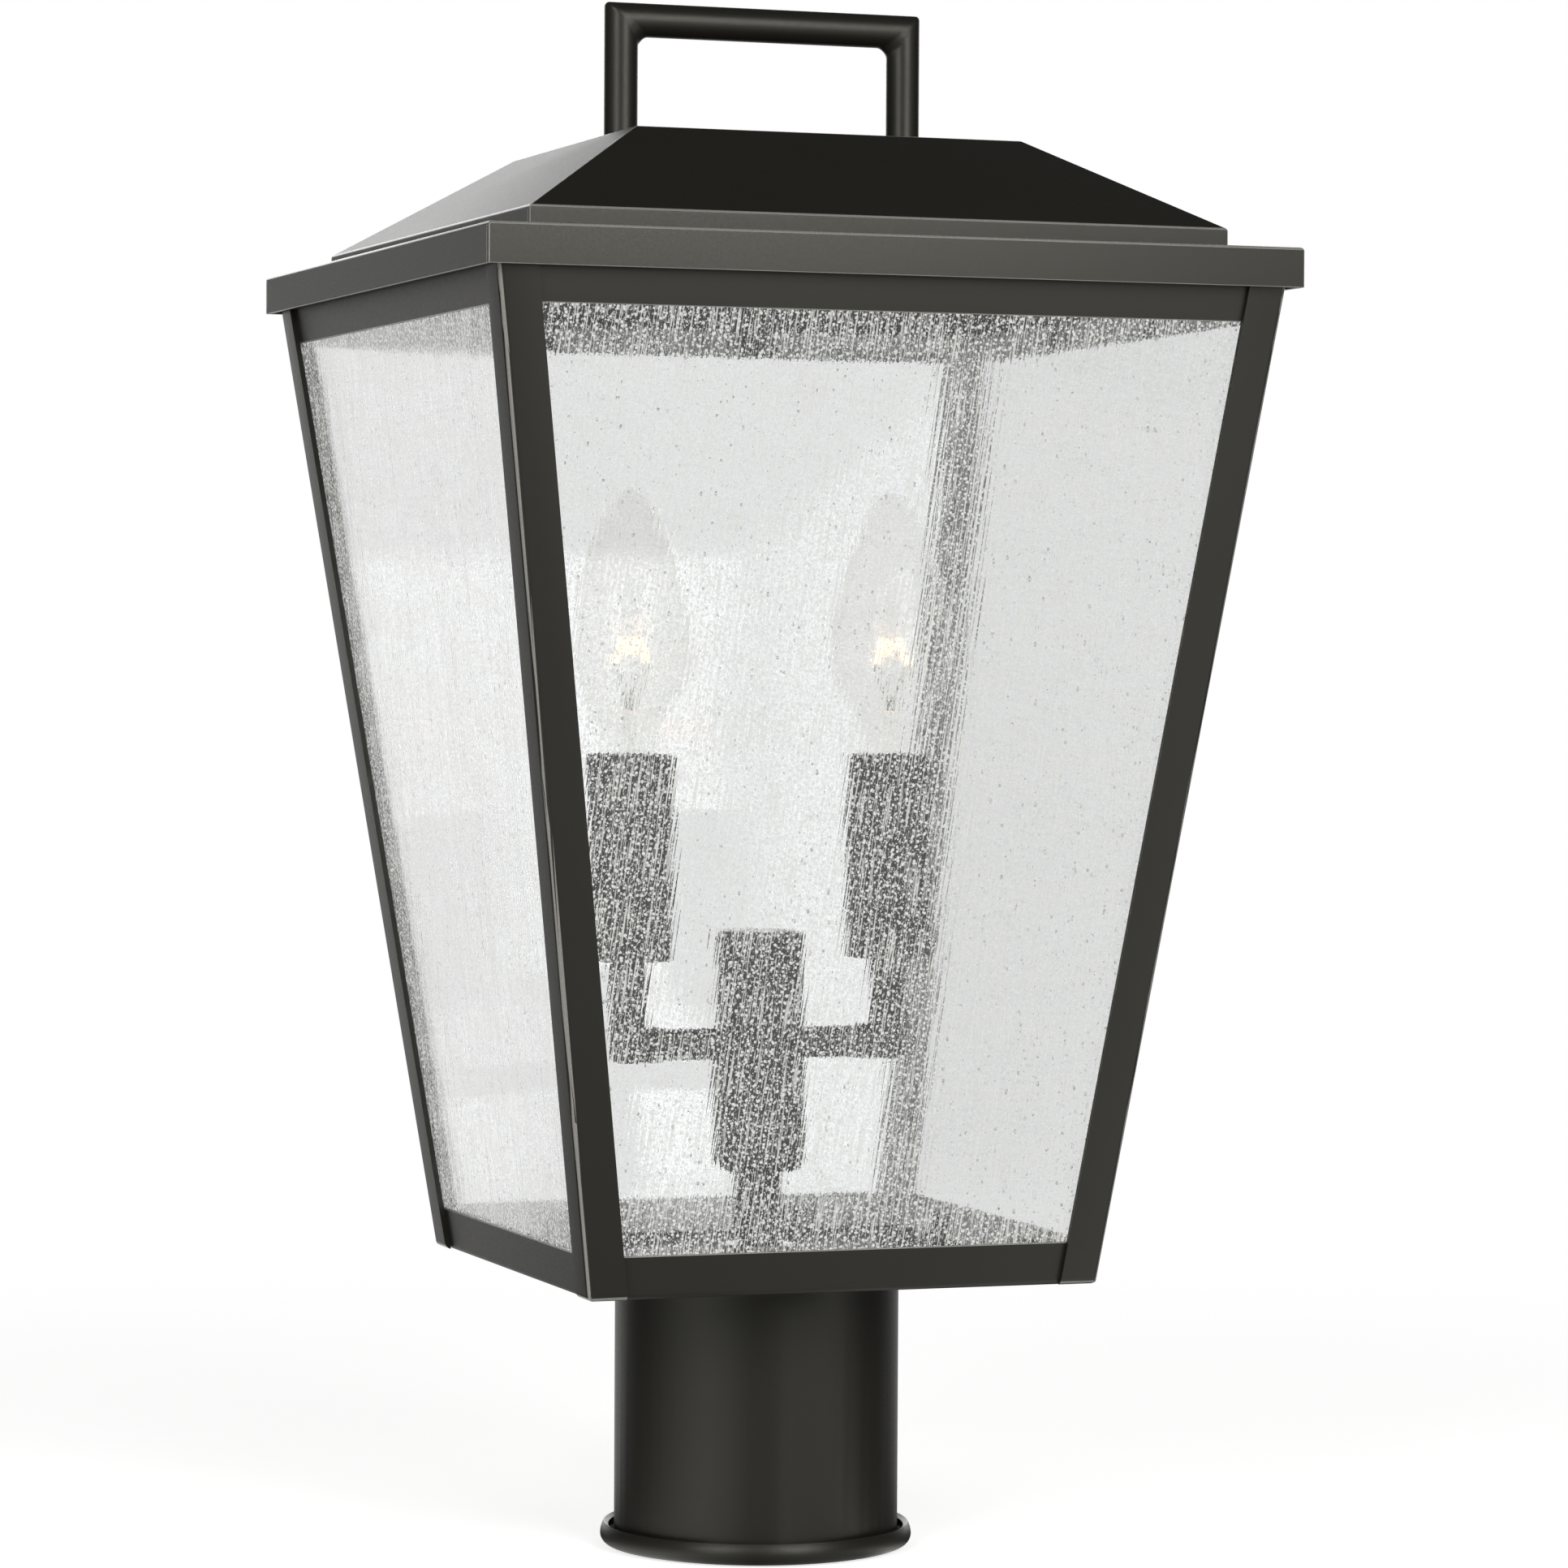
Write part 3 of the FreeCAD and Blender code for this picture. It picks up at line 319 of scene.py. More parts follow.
def seededGlass(settings):
    # drawn soda-lime glass with trapped seeds: clear, hardly tinted, its skin drawn into fine streaks, with a
    # seed every two millimetres or so; seeds and streaks get a painted white glow for the light they scatter,
    # so they hardly show against white and break up what is dark; they are drawn a little larger than they
    # are, to show
    material, tree = newMaterial("drawnSeededGlass")[:2]
    sheet = addNode(tree, "ShaderNodeUVMap", uv_map="sheet").outputs[0]
    lean = addNode(tree, "ShaderNodeMapping", {
        "Vector": sheet, "Rotation": (0, 0, math.radians(settings["lean"]))}).outputs[0]
    noise = {}
    for mark in ("strand", "skin", "scratch"):
        across, down = settings[mark]
        stretch = addNode(tree, "ShaderNodeMapping", {"Vector": lean, "Scale": (1 / across, 1 / down, 1)})
        drawn = addNode(tree, "ShaderNodeTexNoise", {
            "Vector": stretch.outputs[0], "Scale": 1 / mm, "Detail": 1.0}, noise_dimensions="2D")
        noise[mark] = drawn.outputs["Fac"]
    cells = addNode(tree, "ShaderNodeTexVoronoi", {
        "Vector": lean, "Scale": 1 / (settings["seedEvery"] * mm), "Randomness": 1.0},
        voronoi_dimensions="2D")
    size = addNode(tree, "ShaderNodeSeparateColor", {"Color": cells.outputs["Color"]})
    reach = addNode(tree, "ShaderNodeMapRange", {
        "Value": size.outputs[0], "To Min": settings["seedReach"][0], "To Max": settings["seedReach"][1]})
    inside = addNode(tree, "ShaderNodeMath", {
        0: reach.outputs[0], 1: cells.outputs["Distance"]}, operation="DIVIDE")
    # every mark rises softly from its start to its full weight, and the strongest at a place counts
    marks = settings["glowBetweenMarks"]
    for pattern, shows in ((inside.outputs[0], "seedShows"), (noise["scratch"], "scratchShows"),
                           (noise["skin"], "pimpleShows")):
        start, full, weight = settings[shows]
        share = addNode(tree, "ShaderNodeMapRange", {
            "Value": pattern, "From Min": start, "From Max": full, "To Max": weight},
            interpolation_type="SMOOTHSTEP")
        strongest = addNode(tree, "ShaderNodeMath", {0: share.outputs[0], 1: marks}, operation="MAXIMUM")
        marks = strongest.outputs[0]
    # a pane seen from inside, through another, has the dark cage round it, so its painted glow is weaker
    path = addNode(tree, "ShaderNodeLightPath")
    near = addNode(tree, "ShaderNodeMapRange", {
        "Value": path.outputs["Transmission Depth"], "From Min": 1.0, "From Max": 2.0,
        "To Min": 1.0, "To Max": settings["seenInside"]})
    glowShare = addNode(tree, "ShaderNodeMath", {0: marks, 1: near.outputs[0]}, operation="MULTIPLY")
    lines = addNode(tree, "ShaderNodeBump", {
        "Height": noise["strand"], "Distance": settings["strandRelief"] * mm, "Strength": 1.0})
    pimples = addNode(tree, "ShaderNodeBump", {
        "Height": noise["skin"], "Distance": settings["skinRelief"] * mm, "Strength": 1.0,
        "Normal": lines.outputs[0]})
    glass = addNode(tree, "ShaderNodeBsdfPrincipled", {
        "Base Color": linearColour("#f8f9fa"), "Roughness": 0.0, "IOR": 1.52, "Transmission Weight": 1.0,
        "Normal": pimples.outputs[0]})
    # painted glow: an even white emission mixed in over the marks, for the light that seeds and streaks
    # scatter
    paintedGlow = addNode(tree, "ShaderNodeEmission", {
        "Color": linearColour(settings["paintedGlow"]), "Strength": settings["paintedGlowLight"]})
    both = addNode(tree, "ShaderNodeMixShader", {
        0: glowShare.outputs[0], 1: glass.outputs[0], 2: paintedGlow.outputs[0]})
    addNode(tree, "ShaderNodeOutputMaterial", {"Surface": both.outputs[0]})
    return material


def blownGlass():
    # thin blown soda-lime glass of a lamp: clear and even; so thin that what lies behind isn't bent, only
    # dimmed a little, and mirrors show at the rim alone, by the fifth power of how far the wall turns away
    material, tree, place = newMaterial("blownClearGlass")
    swell = addNode(tree, "ShaderNodeTexNoise", {"Vector": place, "Scale": 1 / (9 * mm), "Detail": 1.0})
    bump = addNode(tree, "ShaderNodeBump", {
        "Height": swell.outputs["Fac"], "Distance": 0.05 * mm, "Strength": 1.0})
    turned = addNode(tree, "ShaderNodeLayerWeight", {"Blend": 0.5, "Normal": bump.outputs[0]})
    fifth = addNode(tree, "ShaderNodeMath", {0: turned.outputs["Facing"], 1: 5.0}, operation="POWER")
    mirror = addNode(tree, "ShaderNodeMath", {0: fifth.outputs[0], 1: 0.5, 2: 0.02}, operation="MULTIPLY_ADD")
    clear = addNode(tree, "ShaderNodeBsdfTransparent", {"Color": linearColour("#fdfdfc")})
    gloss = addNode(tree, "ShaderNodeBsdfGlossy", {
        "Color": linearColour("#fbfbfa"), "Roughness": 0.02, "Normal": bump.outputs[0]})
    both = addNode(tree, "ShaderNodeMixShader", {
        0: mirror.outputs[0], 1: clear.outputs[0], 2: gloss.outputs[0]})
    addNode(tree, "ShaderNodeOutputMaterial", {"Surface": both.outputs[0]})
    return material


def finishByGrain(tree, grain, tints, roughness, relief, strength=0.5, spots=None, metallic=1.0):
    # one pattern makes the surface duller and higher together; it tints it as well, unless spots do
    tint = addNode(tree, "ShaderNodeMix", {
        "Factor": grain if spots is None else spots, "A": linearColour(tints[0]),
        "B": linearColour(tints[1])}, data_type="RGBA")
    rough = addNode(tree, "ShaderNodeMapRange", {
        "Value": grain, "To Min": roughness[0], "To Max": roughness[1]})
    bump = addNode(tree, "ShaderNodeBump", {"Height": grain, "Distance": relief * mm, "Strength": strength})
    finishMaterial(tree, Base_Color=tint.outputs[2], Metallic=metallic, Roughness=rough.outputs[0],
                   Normal=bump.outputs[0])


def spunBrass():
    # rolled brass sheet of the lamp sockets: warm, bright, with turning marks
    material, tree, place = newMaterial("rolledBrass")
    marks = addNode(tree, "ShaderNodeMapping", {"Vector": place, "Scale": (1, 1, 18)})
    turning = addNode(tree, "ShaderNodeTexNoise", {
        "Vector": marks.outputs[0], "Scale": 1 / (3 * mm), "Detail": 3.0})
    finishByGrain(tree, turning.outputs["Fac"], ("#c9a35a", "#dcbb74"), roughness=(0.18, 0.34),
                  relief=0.01, strength=0.6)
    return material


def lampCapMetal():
    # pressed aluminium cap of a lamp: pale, a little cloudy
    material, tree, place = newMaterial("pressedAluminium")
    cloud = addNode(tree, "ShaderNodeTexNoise", {"Vector": place, "Scale": 1 / (2.5 * mm), "Detail": 4.0})
    finishByGrain(tree, cloud.outputs["Fac"], ("#bdbcb6", "#d8d7d2"), roughness=(0.24, 0.42), relief=0.01)
    return material


def zincPlate():
    # bright zinc plating on steel screws and nuts: cool grey with faint spangle
    material, tree, place = newMaterial("zincPlatedSteel")
    spangle = addNode(tree, "ShaderNodeTexVoronoi", {"Vector": place, "Scale": 1 / (1.2 * mm)})
    spots = addNode(tree, "ShaderNodeSeparateColor", {"Color": spangle.outputs["Color"]})
    fog = addNode(tree, "ShaderNodeTexNoise", {"Vector": place, "Scale": 1 / (3 * mm), "Detail": 3.0})
    finishByGrain(tree, fog.outputs["Fac"], ("#9fa1a0", "#b9bab6"), roughness=(0.26, 0.44), relief=0.01,
                  spots=spots.outputs[0])
    return material


def mouldedPhenolic():
    # black phenolic resin, compression moulded: matt with a fine flow grain
    material, tree, place = newMaterial("mouldedPhenolic")
    grain = addNode(tree, "ShaderNodeTexNoise", {"Vector": place, "Scale": 1 / (0.8 * mm), "Detail": 3.0})
    finishByGrain(tree, grain.outputs["Fac"], ("#161514", "#23211f"), roughness=(0.42, 0.6), relief=0.03,
                  metallic=0.0)
    return material


def glowingTungsten():
    # coiled tungsten at full heat: warm white
    material, tree, place = newMaterial("glowingTungsten")
    heat = addNode(tree, "ShaderNodeTexNoise", {"Vector": place, "Scale": 1 / (2 * mm)})
    tint = addNode(tree, "ShaderNodeMix", {
        "Factor": heat.outputs["Fac"], "A": linearColour("#ff9f4c"),
        "B": linearColour("#ffc58a")}, data_type="RGBA")
    finishMaterial(tree, Base_Color=linearColour("#6d6a66"), Metallic=1.0, Roughness=0.5,
                   Emission_Color=tint.outputs[2], Emission_Strength=8.0)
    return material


def drawnNickel():
    # nickel wire of the leads: grey, drawn lengthwise
    material, tree, place = newMaterial("drawnNickel")
    stretch = addNode(tree, "ShaderNodeMapping", {"Vector": place, "Scale": (6, 6, 1)})
    marks = addNode(tree, "ShaderNodeTexNoise", {"Vector": stretch.outputs[0], "Scale": 1 / (1.5 * mm)})
    rough = addNode(tree, "ShaderNodeMapRange", {
        "Value": marks.outputs["Fac"], "To Min": 0.25, "To Max": 0.45})
    finishMaterial(tree, Base_Color=linearColour("#a9a59c"), Metallic=1.0, Roughness=rough.outputs[0])
    return material


finish = {
    "bronze_paint": powderCoat("satinPowderCoatDarkBronze", "#1b1a16", "#201f1a", 0.41, coat),
    # on edges and folds a smoother coat painted light grey: a painted highlight for the bright line that
    # light draws along the rounds
    "painted_edge_highlight": powderCoat("powderCoatPaintedEdgeHighlight", "#807e79", "#908e88", 0.26, coat),
    "seeded_glass": seededGlass(glassMarks),
    "bulb_glass": blownGlass(),
    "brass": spunBrass(),
    "cap_metal": lampCapMetal(),
    "zinc_steel": zincPlate(),
    "holder_plastic": mouldedPhenolic(),
    "filament": glowingTungsten(),
    "leads": drawnNickel(),
}
print("finishes mixed")


# mesh tools

joinWithin = 0.001  # millimetres; corners closer than this are one


def middleOf(node):
    low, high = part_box(node)
    return low.lerp(high, 0.5)


def pieceFrom(name, mesh):
    piece = bpy.data.objects.new(name, mesh)
    bpy.context.scene.collection.objects.link(piece)
    return piece


def addTo(piece, node, material=None):
    # a piece that goes with the node: it takes the finish of the node's slot, and the node's body
    piece.data.materials.clear()
    piece.data.materials.append(material or finish[slotOfNode[node]])
    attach(piece, bodyOfNode[node])


def standFor(piece, node):
    # a piece that takes the node's place as well
    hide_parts(node)
    addTo(piece, node)


def sealMesh(mesh, within, sharpAngle, turnOut=True):
    # joins the corners at seams and poles, faces outwards, smooth but for the sharp edges
    form = bmesh.new()
    form.from_mesh(mesh)
    bmesh.ops.remove_doubles(form, verts=form.verts, dist=within)
    if turnOut:
        bmesh.ops.recalc_face_normals(form, faces=form.faces)
    form.to_mesh(mesh)
    form.free()
    mesh.shade_smooth()
    mesh.set_sharp_from_angle(angle=math.radians(sharpAngle))


def surfacePiece(name, points, quads, sharpAngle=40):
    mesh = bpy.data.meshes.new(name)
    mesh.from_pydata(np.asarray(points).reshape(-1, 3).tolist(), [], np.asarray(quads).tolist())
    sealMesh(mesh, joinWithin * mm, sharpAngle)
    return pieceFrom(name, mesh)


def gridQuads(rows, columns, closeRows, closeColumns):
    # the corner numbers of every quad of a grid, rows by columns, wrapped round where it is closed
    row = np.arange(rows if closeRows else rows - 1)[:, None]
    column = np.arange(columns if closeColumns else columns - 1)[None, :]
    nextRow, nextColumn = (row + 1) % rows, (column + 1) % columns
    corners = [row * columns + column, nextRow * columns + column, nextRow * columns + nextColumn,
               row * columns + nextColumn]
    return np.stack(np.broadcast_arrays(*corners), axis=-1).reshape(-1, 4)


def fullTurn(steps):
    return np.linspace(0, 2 * np.pi, steps, endpoint=False)


def aroundAxis(radius, angle, z):
    # radius times cosine and sine of the angle, at height z
    radius, angle, z = np.broadcast_arrays(radius, angle, z)
    return np.stack([radius * np.cos(angle), radius * np.sin(angle), z], axis=-1)


def aimed(points, base, direction):
    # points made about the upright axis, set to start at the base and run along the direction
    turn = np.array(Vector((0, 0, 1)).rotation_difference(Vector(direction)).to_matrix())
    return np.asarray(points) @ turn.T + np.asarray(base)


def turnedPiece(name, outline, centre, steps, closed=False):
    # each outline point (radius, height, in millimetres) goes round the upright axis in equal steps
    outline = np.asarray(outline, float) * mm
    points = aroundAxis(outline[:, :1], fullTurn(steps), outline[:, 1:]) + np.array(centre)
    return surfacePiece(name, points, gridQuads(len(outline), steps, closed, True))


def smoothOutline(knots, steps):
    # a curve through the knots: between two, a cubic whose slopes follow the knots on either side
    knots = np.asarray(knots, float)
    padded = np.vstack([2 * knots[0] - knots[1], knots, 2 * knots[-1] - knots[-2]])
    t = np.linspace(0, len(knots) - 1, steps)
    i = np.minimum(t.astype(int), len(knots) - 2)
    f = (t - i)[:, None]
    a, b, c, d = padded[i], padded[i + 1], padded[i + 2], padded[i + 3]
    return b + 0.5 * f * (c - a + f * (2 * a - 5 * b + 4 * c - d + f * (3 * (b - c) + d - a)))


def tubeAlong(name, path, radius, sides, aside):
    # a circle carried along a path, square to it; aside is a way that the path never runs
    path = np.asarray(path, float)
    run = np.gradient(path, axis=0)
    run /= np.linalg.norm(run, axis=1)[:, None]
    across = np.cross(run, np.asarray(aside, float))
    across /= np.linalg.norm(across, axis=1)[:, None]
    over = np.cross(run, across)
    angle = fullTurn(sides)[None, :, None]
    rings = path[:, None] + radius * (across[:, None] * np.cos(angle) + over[:, None] * np.sin(angle))
    ends = [np.broadcast_to(path[0], (1, sides, 3)), rings, np.broadcast_to(path[-1], (1, sides, 3))]
    points = np.concatenate(ends)
    return surfacePiece(name, points, gridQuads(len(points), sides, False, True), sharpAngle=60)


# sheet metal and turned pieces that keep their shape

sheetEdges = {
    "joinWithin": 0.002,  # millimetres, for the loose triangles of a node
    "flatWithin": 0.4,    # degrees between triangles of one face
    "sharpFrom": 30,      # degrees
    "rounds": 3,          # faces over a broken edge
    "foldStrip": 1.2,     # millimetres, the widest face that can be part of a fold
}
# the strips of a fold face between its two sides: no axis takes more than this share of their normal
foldShare = {"corner_post": 0.85, "cornice": 0.95, "roof": 0.95}

brokenEdges = {  # millimetres of round on each kind of edge
    "fitter_tube": 0.25, "base_tray": 0.35, "cornice": 0.18, "roof": 0.25, "locating_tabs": 0.15,
    "pane_clips": 0.12, "cluster_body": 0.3, "cluster_cap": 0.4, "handle_washers": 0.15, "handle_screws": 0.2,
}
for corner in ("front_left", "front_right", "back_right", "back_left"):
    brokenEdges["corner_post_" + corner] = 0.2
for side in ("front", "right", "back", "left"):
    brokenEdges["top_rail_" + side] = 0.2
for side in ("left", "right"):
    brokenEdges.update({
        "arm_" + side: 0.2, "riser_" + side: 0.3, "candle_sleeve_" + side: 0.2, "lampholder_" + side: 0.3,
        "socket_contact_" + side: 0.2, "fitter_screw_" + side: 0.15})


def foldStrips(form, share, widest):
    # one for each narrow face whose normal leans away from every axis, nought for the others
    strips = []
    for face in form.faces:
        level = max(abs(face.normal.x), abs(face.normal.y), abs(face.normal.z))
        slim = face.calc_area() / max(side.calc_length() for side in face.edges) < widest
        strips.append(1 if slim and level < share else 0)
    return strips


def cleanCopy(node, edge, settings):
    # the node's own shape, its triangles joined into whole faces, with its sharp edges broken by a small
    # round; where it is painted, the rounds and the strips of a fold take the light grey painted edge
    # highlight
    form = bmesh.new()
    form.from_mesh(frame["nodes"][node].data)
    bmesh.ops.remove_doubles(form, verts=form.verts, dist=settings["joinWithin"] * mm)
    bmesh.ops.dissolve_limit(form, angle_limit=math.radians(settings["flatWithin"]), verts=form.verts,
                             edges=form.edges)
    strips = [foldStrips(form, share, settings["foldStrip"] * mm)
              for start, share in foldShare.items() if node.startswith(start)]
    mesh = bpy.data.meshes.new(node + "_finished")
    form.to_mesh(mesh)
    form.free()
    sharp = math.radians(settings["sharpFrom"])
    mesh.shade_smooth()
    mesh.set_sharp_from_angle(angle=sharp)
    piece = pieceFrom(node + "_finished", mesh)
    bevel = piece.modifiers.new("broken edges", "BEVEL")
    bevel.width = edge * mm
    bevel.segments = settings["rounds"]
    bevel.limit_method = "ANGLE"
    bevel.angle_limit = sharp
    bevel.harden_normals = True
    standFor(piece, node)
    if slotOfNode[node] == "bronze_paint":
        # second slot: the painted edge highlight, on the fold strips, and on the bevel's rounds except on the
        # corner posts
        piece.data.materials.append(finish["painted_edge_highlight"])
        if strips:
            piece.data.polygons.foreach_set("material_index", strips[0])
        if not node.startswith("corner_post"):
            bevel.material = 1


for node, edge in brokenEdges.items():
    cleanCopy(node, edge, sheetEdges)
print("sheet and turned pieces finished")


# panes: drawn glass, both faces rippled along the drawing direction, with seeds trapped inside

pane = {
    "lean": 0.1381,             # outwards for each unit up, as the cage
    "cellAcross": 0.9,          # grid, millimetres
    "cellDown": 4.0,
    "ripple": 0.010,            # depth of the drawn ripples
    "rippleSoft": (22.0, 2.2),  # their softness down and across
    "swell": 0.02,              # slow waves
    "swellSoft": (40.0, 14.0),
    "deepest": 3,               # how many times its usual depth a wave reaches before it is cut off
    "rimFade": 12,              # next to the rim the waves fade out, over half the width divided by this
    "sharpFrom": 70,            # degrees
    "joinWithin": 0.0001,
    "chance": 11,               # where the random draws start
    "seeds": 3600,
    "seedRadius": (0.13, 0.46),
    "seedRarity": 2.2,          # the higher, the fewer large seeds
    "seedStretch": 2.2,         # longest, along the draw
    "seedRows": 5,
    "seedSides": 6,
    "seedInset": 3.0,           # from the sheet's sides
    "seedEnds": 0.012,          # share of the height that is free of seeds at top and bottom
    "seedDepth": 1.0,           # from the outer face to the first seeds, and as much again to the last
}


def drawnNoise(shape, soft, randomness):
    # white noise blurred by a gaussian in frequency space, as wide as soft says in cells, with unit spread
    noise = randomness.standard_normal(shape)
    rows = np.fft.fftfreq(shape[0])[:, None] * soft[0]
    columns = np.fft.rfftfreq(shape[1])[None, :] * soft[1]
    keep = np.exp(-2 * np.pi ** 2 * (rows ** 2 + columns ** 2))
    blurred = np.fft.irfft2(np.fft.rfft2(noise) * keep, s=shape)
    return (blurred - blurred.mean()) / blurred.std()


def seedShapes(settings, low, high, height, randomness):
    # each seed is a small ball stretched along the draw, small ones the most common
    count = settings["seeds"]
    down = np.linspace(0, np.pi, settings["seedRows"])[:, None]
    ball = aroundAxis(np.sin(down), fullTurn(settings["seedSides"]), np.cos(down))
    smallest, largest = settings["seedRadius"]
    radius = smallest * (largest / smallest) ** (randomness.random(count) ** settings["seedRarity"])
    stretch = 1 + (settings["seedStretch"] - 1) * randomness.random(count) ** 2
    up = randomness.random(count)
    z = height * (settings["seedEnds"] + (1 - 2 * settings["seedEnds"]) * up)
    x = (low + (high - low) * up - settings["seedInset"]) * (2 * randomness.random(count) - 1)
    depth = settings["seedDepth"] * (1 + randomness.random(count))
    centres = np.stack([x, depth, z], axis=-1)
    size = np.stack([radius, radius, radius * stretch], axis=-1)
    return centres[:, None, None, :] + ball[None] * size[:, None, None, :]


def sheetFace(top, inwards, lowHalf, topHalf, height, settings, randomness):
    # a grid of x and height on a leaning plane, pressed inwards by its waves and left flat at the rim
    columns = int(2 * topHalf / settings["cellAcross"])
    rows = int(height / settings["cellDown"])
    cells = np.array([settings["cellDown"], settings["cellAcross"]])
    across = np.linspace(-1, 1, columns)[None, :]
    up = np.linspace(0, 1, rows)[:, None]
    x = across * (lowHalf + (topHalf - lowHalf) * up)
    z = np.broadcast_to(up * height, x.shape)
    fade = np.minimum(1, settings["rimFade"] * np.minimum(np.minimum(1 - abs(across), up), 1 - up))
    wave = 0
    for kind in ("ripple", "swell"):
        noise = drawnNoise(x.shape, np.array(settings[kind + "Soft"]) / cells, randomness)
        wave = wave + settings[kind] * (noise + settings["deepest"])
    y = top + settings["lean"] * (height - z) + inwards * np.maximum(wave, 0) * fade
    return np.stack([x, y, z], axis=-1)


def buildPane(side, quarter, settings):
    # an outer and an inner face, closed by a ring of quads at the rim, and the seeds between them
    low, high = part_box("pane_front")
    randomness = np.random.default_rng(quarter + settings["chance"])
    height = (high.z - low.z) / mm
    leanOver = settings["lean"] * height
    topHalf = high.x / mm
    lowHalf = topHalf - leanOver
    outerTop, innerTop = low.y / mm, high.y / mm - leanOver
    faces = [sheetFace(top, inwards, lowHalf, topHalf, height, settings, randomness)
             for top, inwards in ((outerTop, 1), (innerTop, -1))]
    rows, columns = faces[0].shape[:2]
    quads = gridQuads(rows, columns, False, False)
    count = rows * columns
    number = np.arange(count).reshape(rows, columns)
    rim = np.concatenate([number[0], number[1:, -1], number[-1, -2::-1], number[-2:0:-1, 0]])
    around = np.stack([rim, np.roll(rim, -1), np.roll(rim, -1) + count, rim + count], axis=-1)
    # the seeds are hollows, so they face into themselves
    balls = seedShapes(settings, lowHalf, topHalf, height, randomness)
    balls[..., 1] += outerTop + settings["lean"] * (height - balls[..., 2])
    ballQuads = gridQuads(settings["seedRows"], settings["seedSides"], False, True)[:, ::-1]
    starts = 2 * count + np.arange(len(balls)) * settings["seedRows"] * settings["seedSides"]
    seedQuads = (ballQuads[None] + starts[:, None, None]).reshape(-1, 4)
    points = np.concatenate([part.reshape(-1, 3) for part in (faces[0], faces[1], balls)])
    points = (points + np.array([0, 0, low.z / mm])) * mm
    turn = np.array(Matrix.Rotation(math.radians(90 * quarter), 3, "Z"))
    name = "pane_" + side + "_glass"
    mesh = bpy.data.meshes.new(name)
    allQuads = np.concatenate([quads[:, ::-1], quads + count, around, seedQuads])
    mesh.from_pydata((points @ turn.T).tolist(), [], allQuads.tolist())
    # the sheet's own map, in metres: across and up, each face and each pane at a place of its own
    flat = np.stack([points[:, 0] + quarter, points[:, 2]], axis=-1)
    flat[count:2 * count, 0] += 0.5
    corners = np.empty(len(mesh.loops), np.int32)
    mesh.loops.foreach_get("vertex_index", corners)
    mesh.uv_layers.new(name="sheet").data.foreach_set("uv", flat[corners].astype(np.float32).ravel())
    sealMesh(mesh, settings["joinWithin"] * mm, settings["sharpFrom"], turnOut=False)
    standFor(pieceFrom(name, mesh), "pane_" + side)


for quarter, side in enumerate(("front", "right", "back", "left")):
    buildPane(side, quarter, pane)
print("panes drawn")


# threads: a groove that climbs round a rod; hex nuts

threadRows = 8        # rows of points to a pitch
threadChamfer = 0.6   # of the thread's depth, at both ends

clusterStem = {"radius": 6.55, "depth": 0.55, "pitch": 1.41, "bore": 4.7, "steps": 64}
clusterNut = {"flats": 19.0, "height": 5.0, "chamfer": 0.6, "bore": 6.6}
sleeveNut = {"flats": 14.0, "height": 3.0, "chamfer": 0.45, "bore": 4.8}
nutFace = 0.97        # the round face of a nut, in shares of its flats
nutSteps = 96


def threadedRod(name, settings, base, direction):
    # radius = outer less depth times how far the height is from the crest, which climbs one pitch a turn
    length, pitch, depth, steps = (settings[key] for key in ("length", "pitch", "depth", "steps"))
    rows = int(length / pitch * threadRows) + 1
    z = np.linspace(0, length, rows)[:, None]
    angle = fullTurn(steps)[None, :]
    phase = np.mod(z / pitch - angle / (2 * np.pi), 1.0)
    groove = 1 - abs(2 * phase - 1)
    if settings.get("rounded"):
        groove = 0.5 - 0.5 * np.cos(2 * np.pi * phase)
    toEnd = np.minimum(z, length - z)
    runOut = np.minimum(1, toEnd / pitch)
    chamfer = 1 - np.minimum(1, toEnd / (threadChamfer * depth))
    bore = settings.get("bore", 0.0)
    wall = aroundAxis(settings["radius"] - depth * np.maximum(groove * runOut, chamfer), angle, z)
    points = np.concatenate([wall, aroundAxis(bore, angle, length), aroundAxis(bore, angle, 0.0)])
    quads = gridQuads(rows + 2, steps, bore > 0, True)
    return surfacePiece(name, aimed(points * mm, base, direction), quads, sharpAngle=35)


def hexNut(name, settings, base):
    # six flats cut by a cone above and below; radius = the flat's distance over the cosine from its middle
    height, chamfer, bore = settings["height"], settings["chamfer"], settings["bore"]
    angle = fullTurn(nutSteps)
    flat = settings["flats"] / 2
    face = flat * nutFace
    side = flat / np.cos(np.mod(angle, np.pi / 3) - np.pi / 6)
    # the cone meets each flat lower at the corners than at the middle
    sink = chamfer * (side - face) / (flat / math.cos(math.pi / 6) - face)
    rows = [(bore, 0), (face, 0), (side, sink), (side, height - sink), (face, height), (bore, height)]
    points = np.stack([aroundAxis(radius, angle, z) for radius, z in rows])
    quads = gridQuads(len(rows), nutSteps, True, True)
    return surfacePiece(name, points * mm + np.array(base), quads, sharpAngle=20)


low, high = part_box("nipple")
clusterStem["length"] = (high.z - low.z) / mm
standFor(threadedRod("nipple_threaded", clusterStem, (0, 0, low.z), (0, 0, 1)), "nipple")
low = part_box("nipple_nut")[0]
standFor(hexNut("nipple_nut_chamfered", clusterNut, (0, 0, low.z)), "nipple_nut")
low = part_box("riser_nuts")[0]
candleX = middleOf("bulb_glass_right").x
nutPair = [hexNut("riser_nut_left", sleeveNut, (-candleX, 0, low.z)),
           hexNut("riser_nut_right", sleeveNut, (candleX, 0, low.z))]
standFor(nutPair[0], "riser_nuts")
addTo(nutPair[1], "riser_nuts")
print("stem and nuts threaded")


# lift handle: round bar, two welded corners, legs welded to the roof

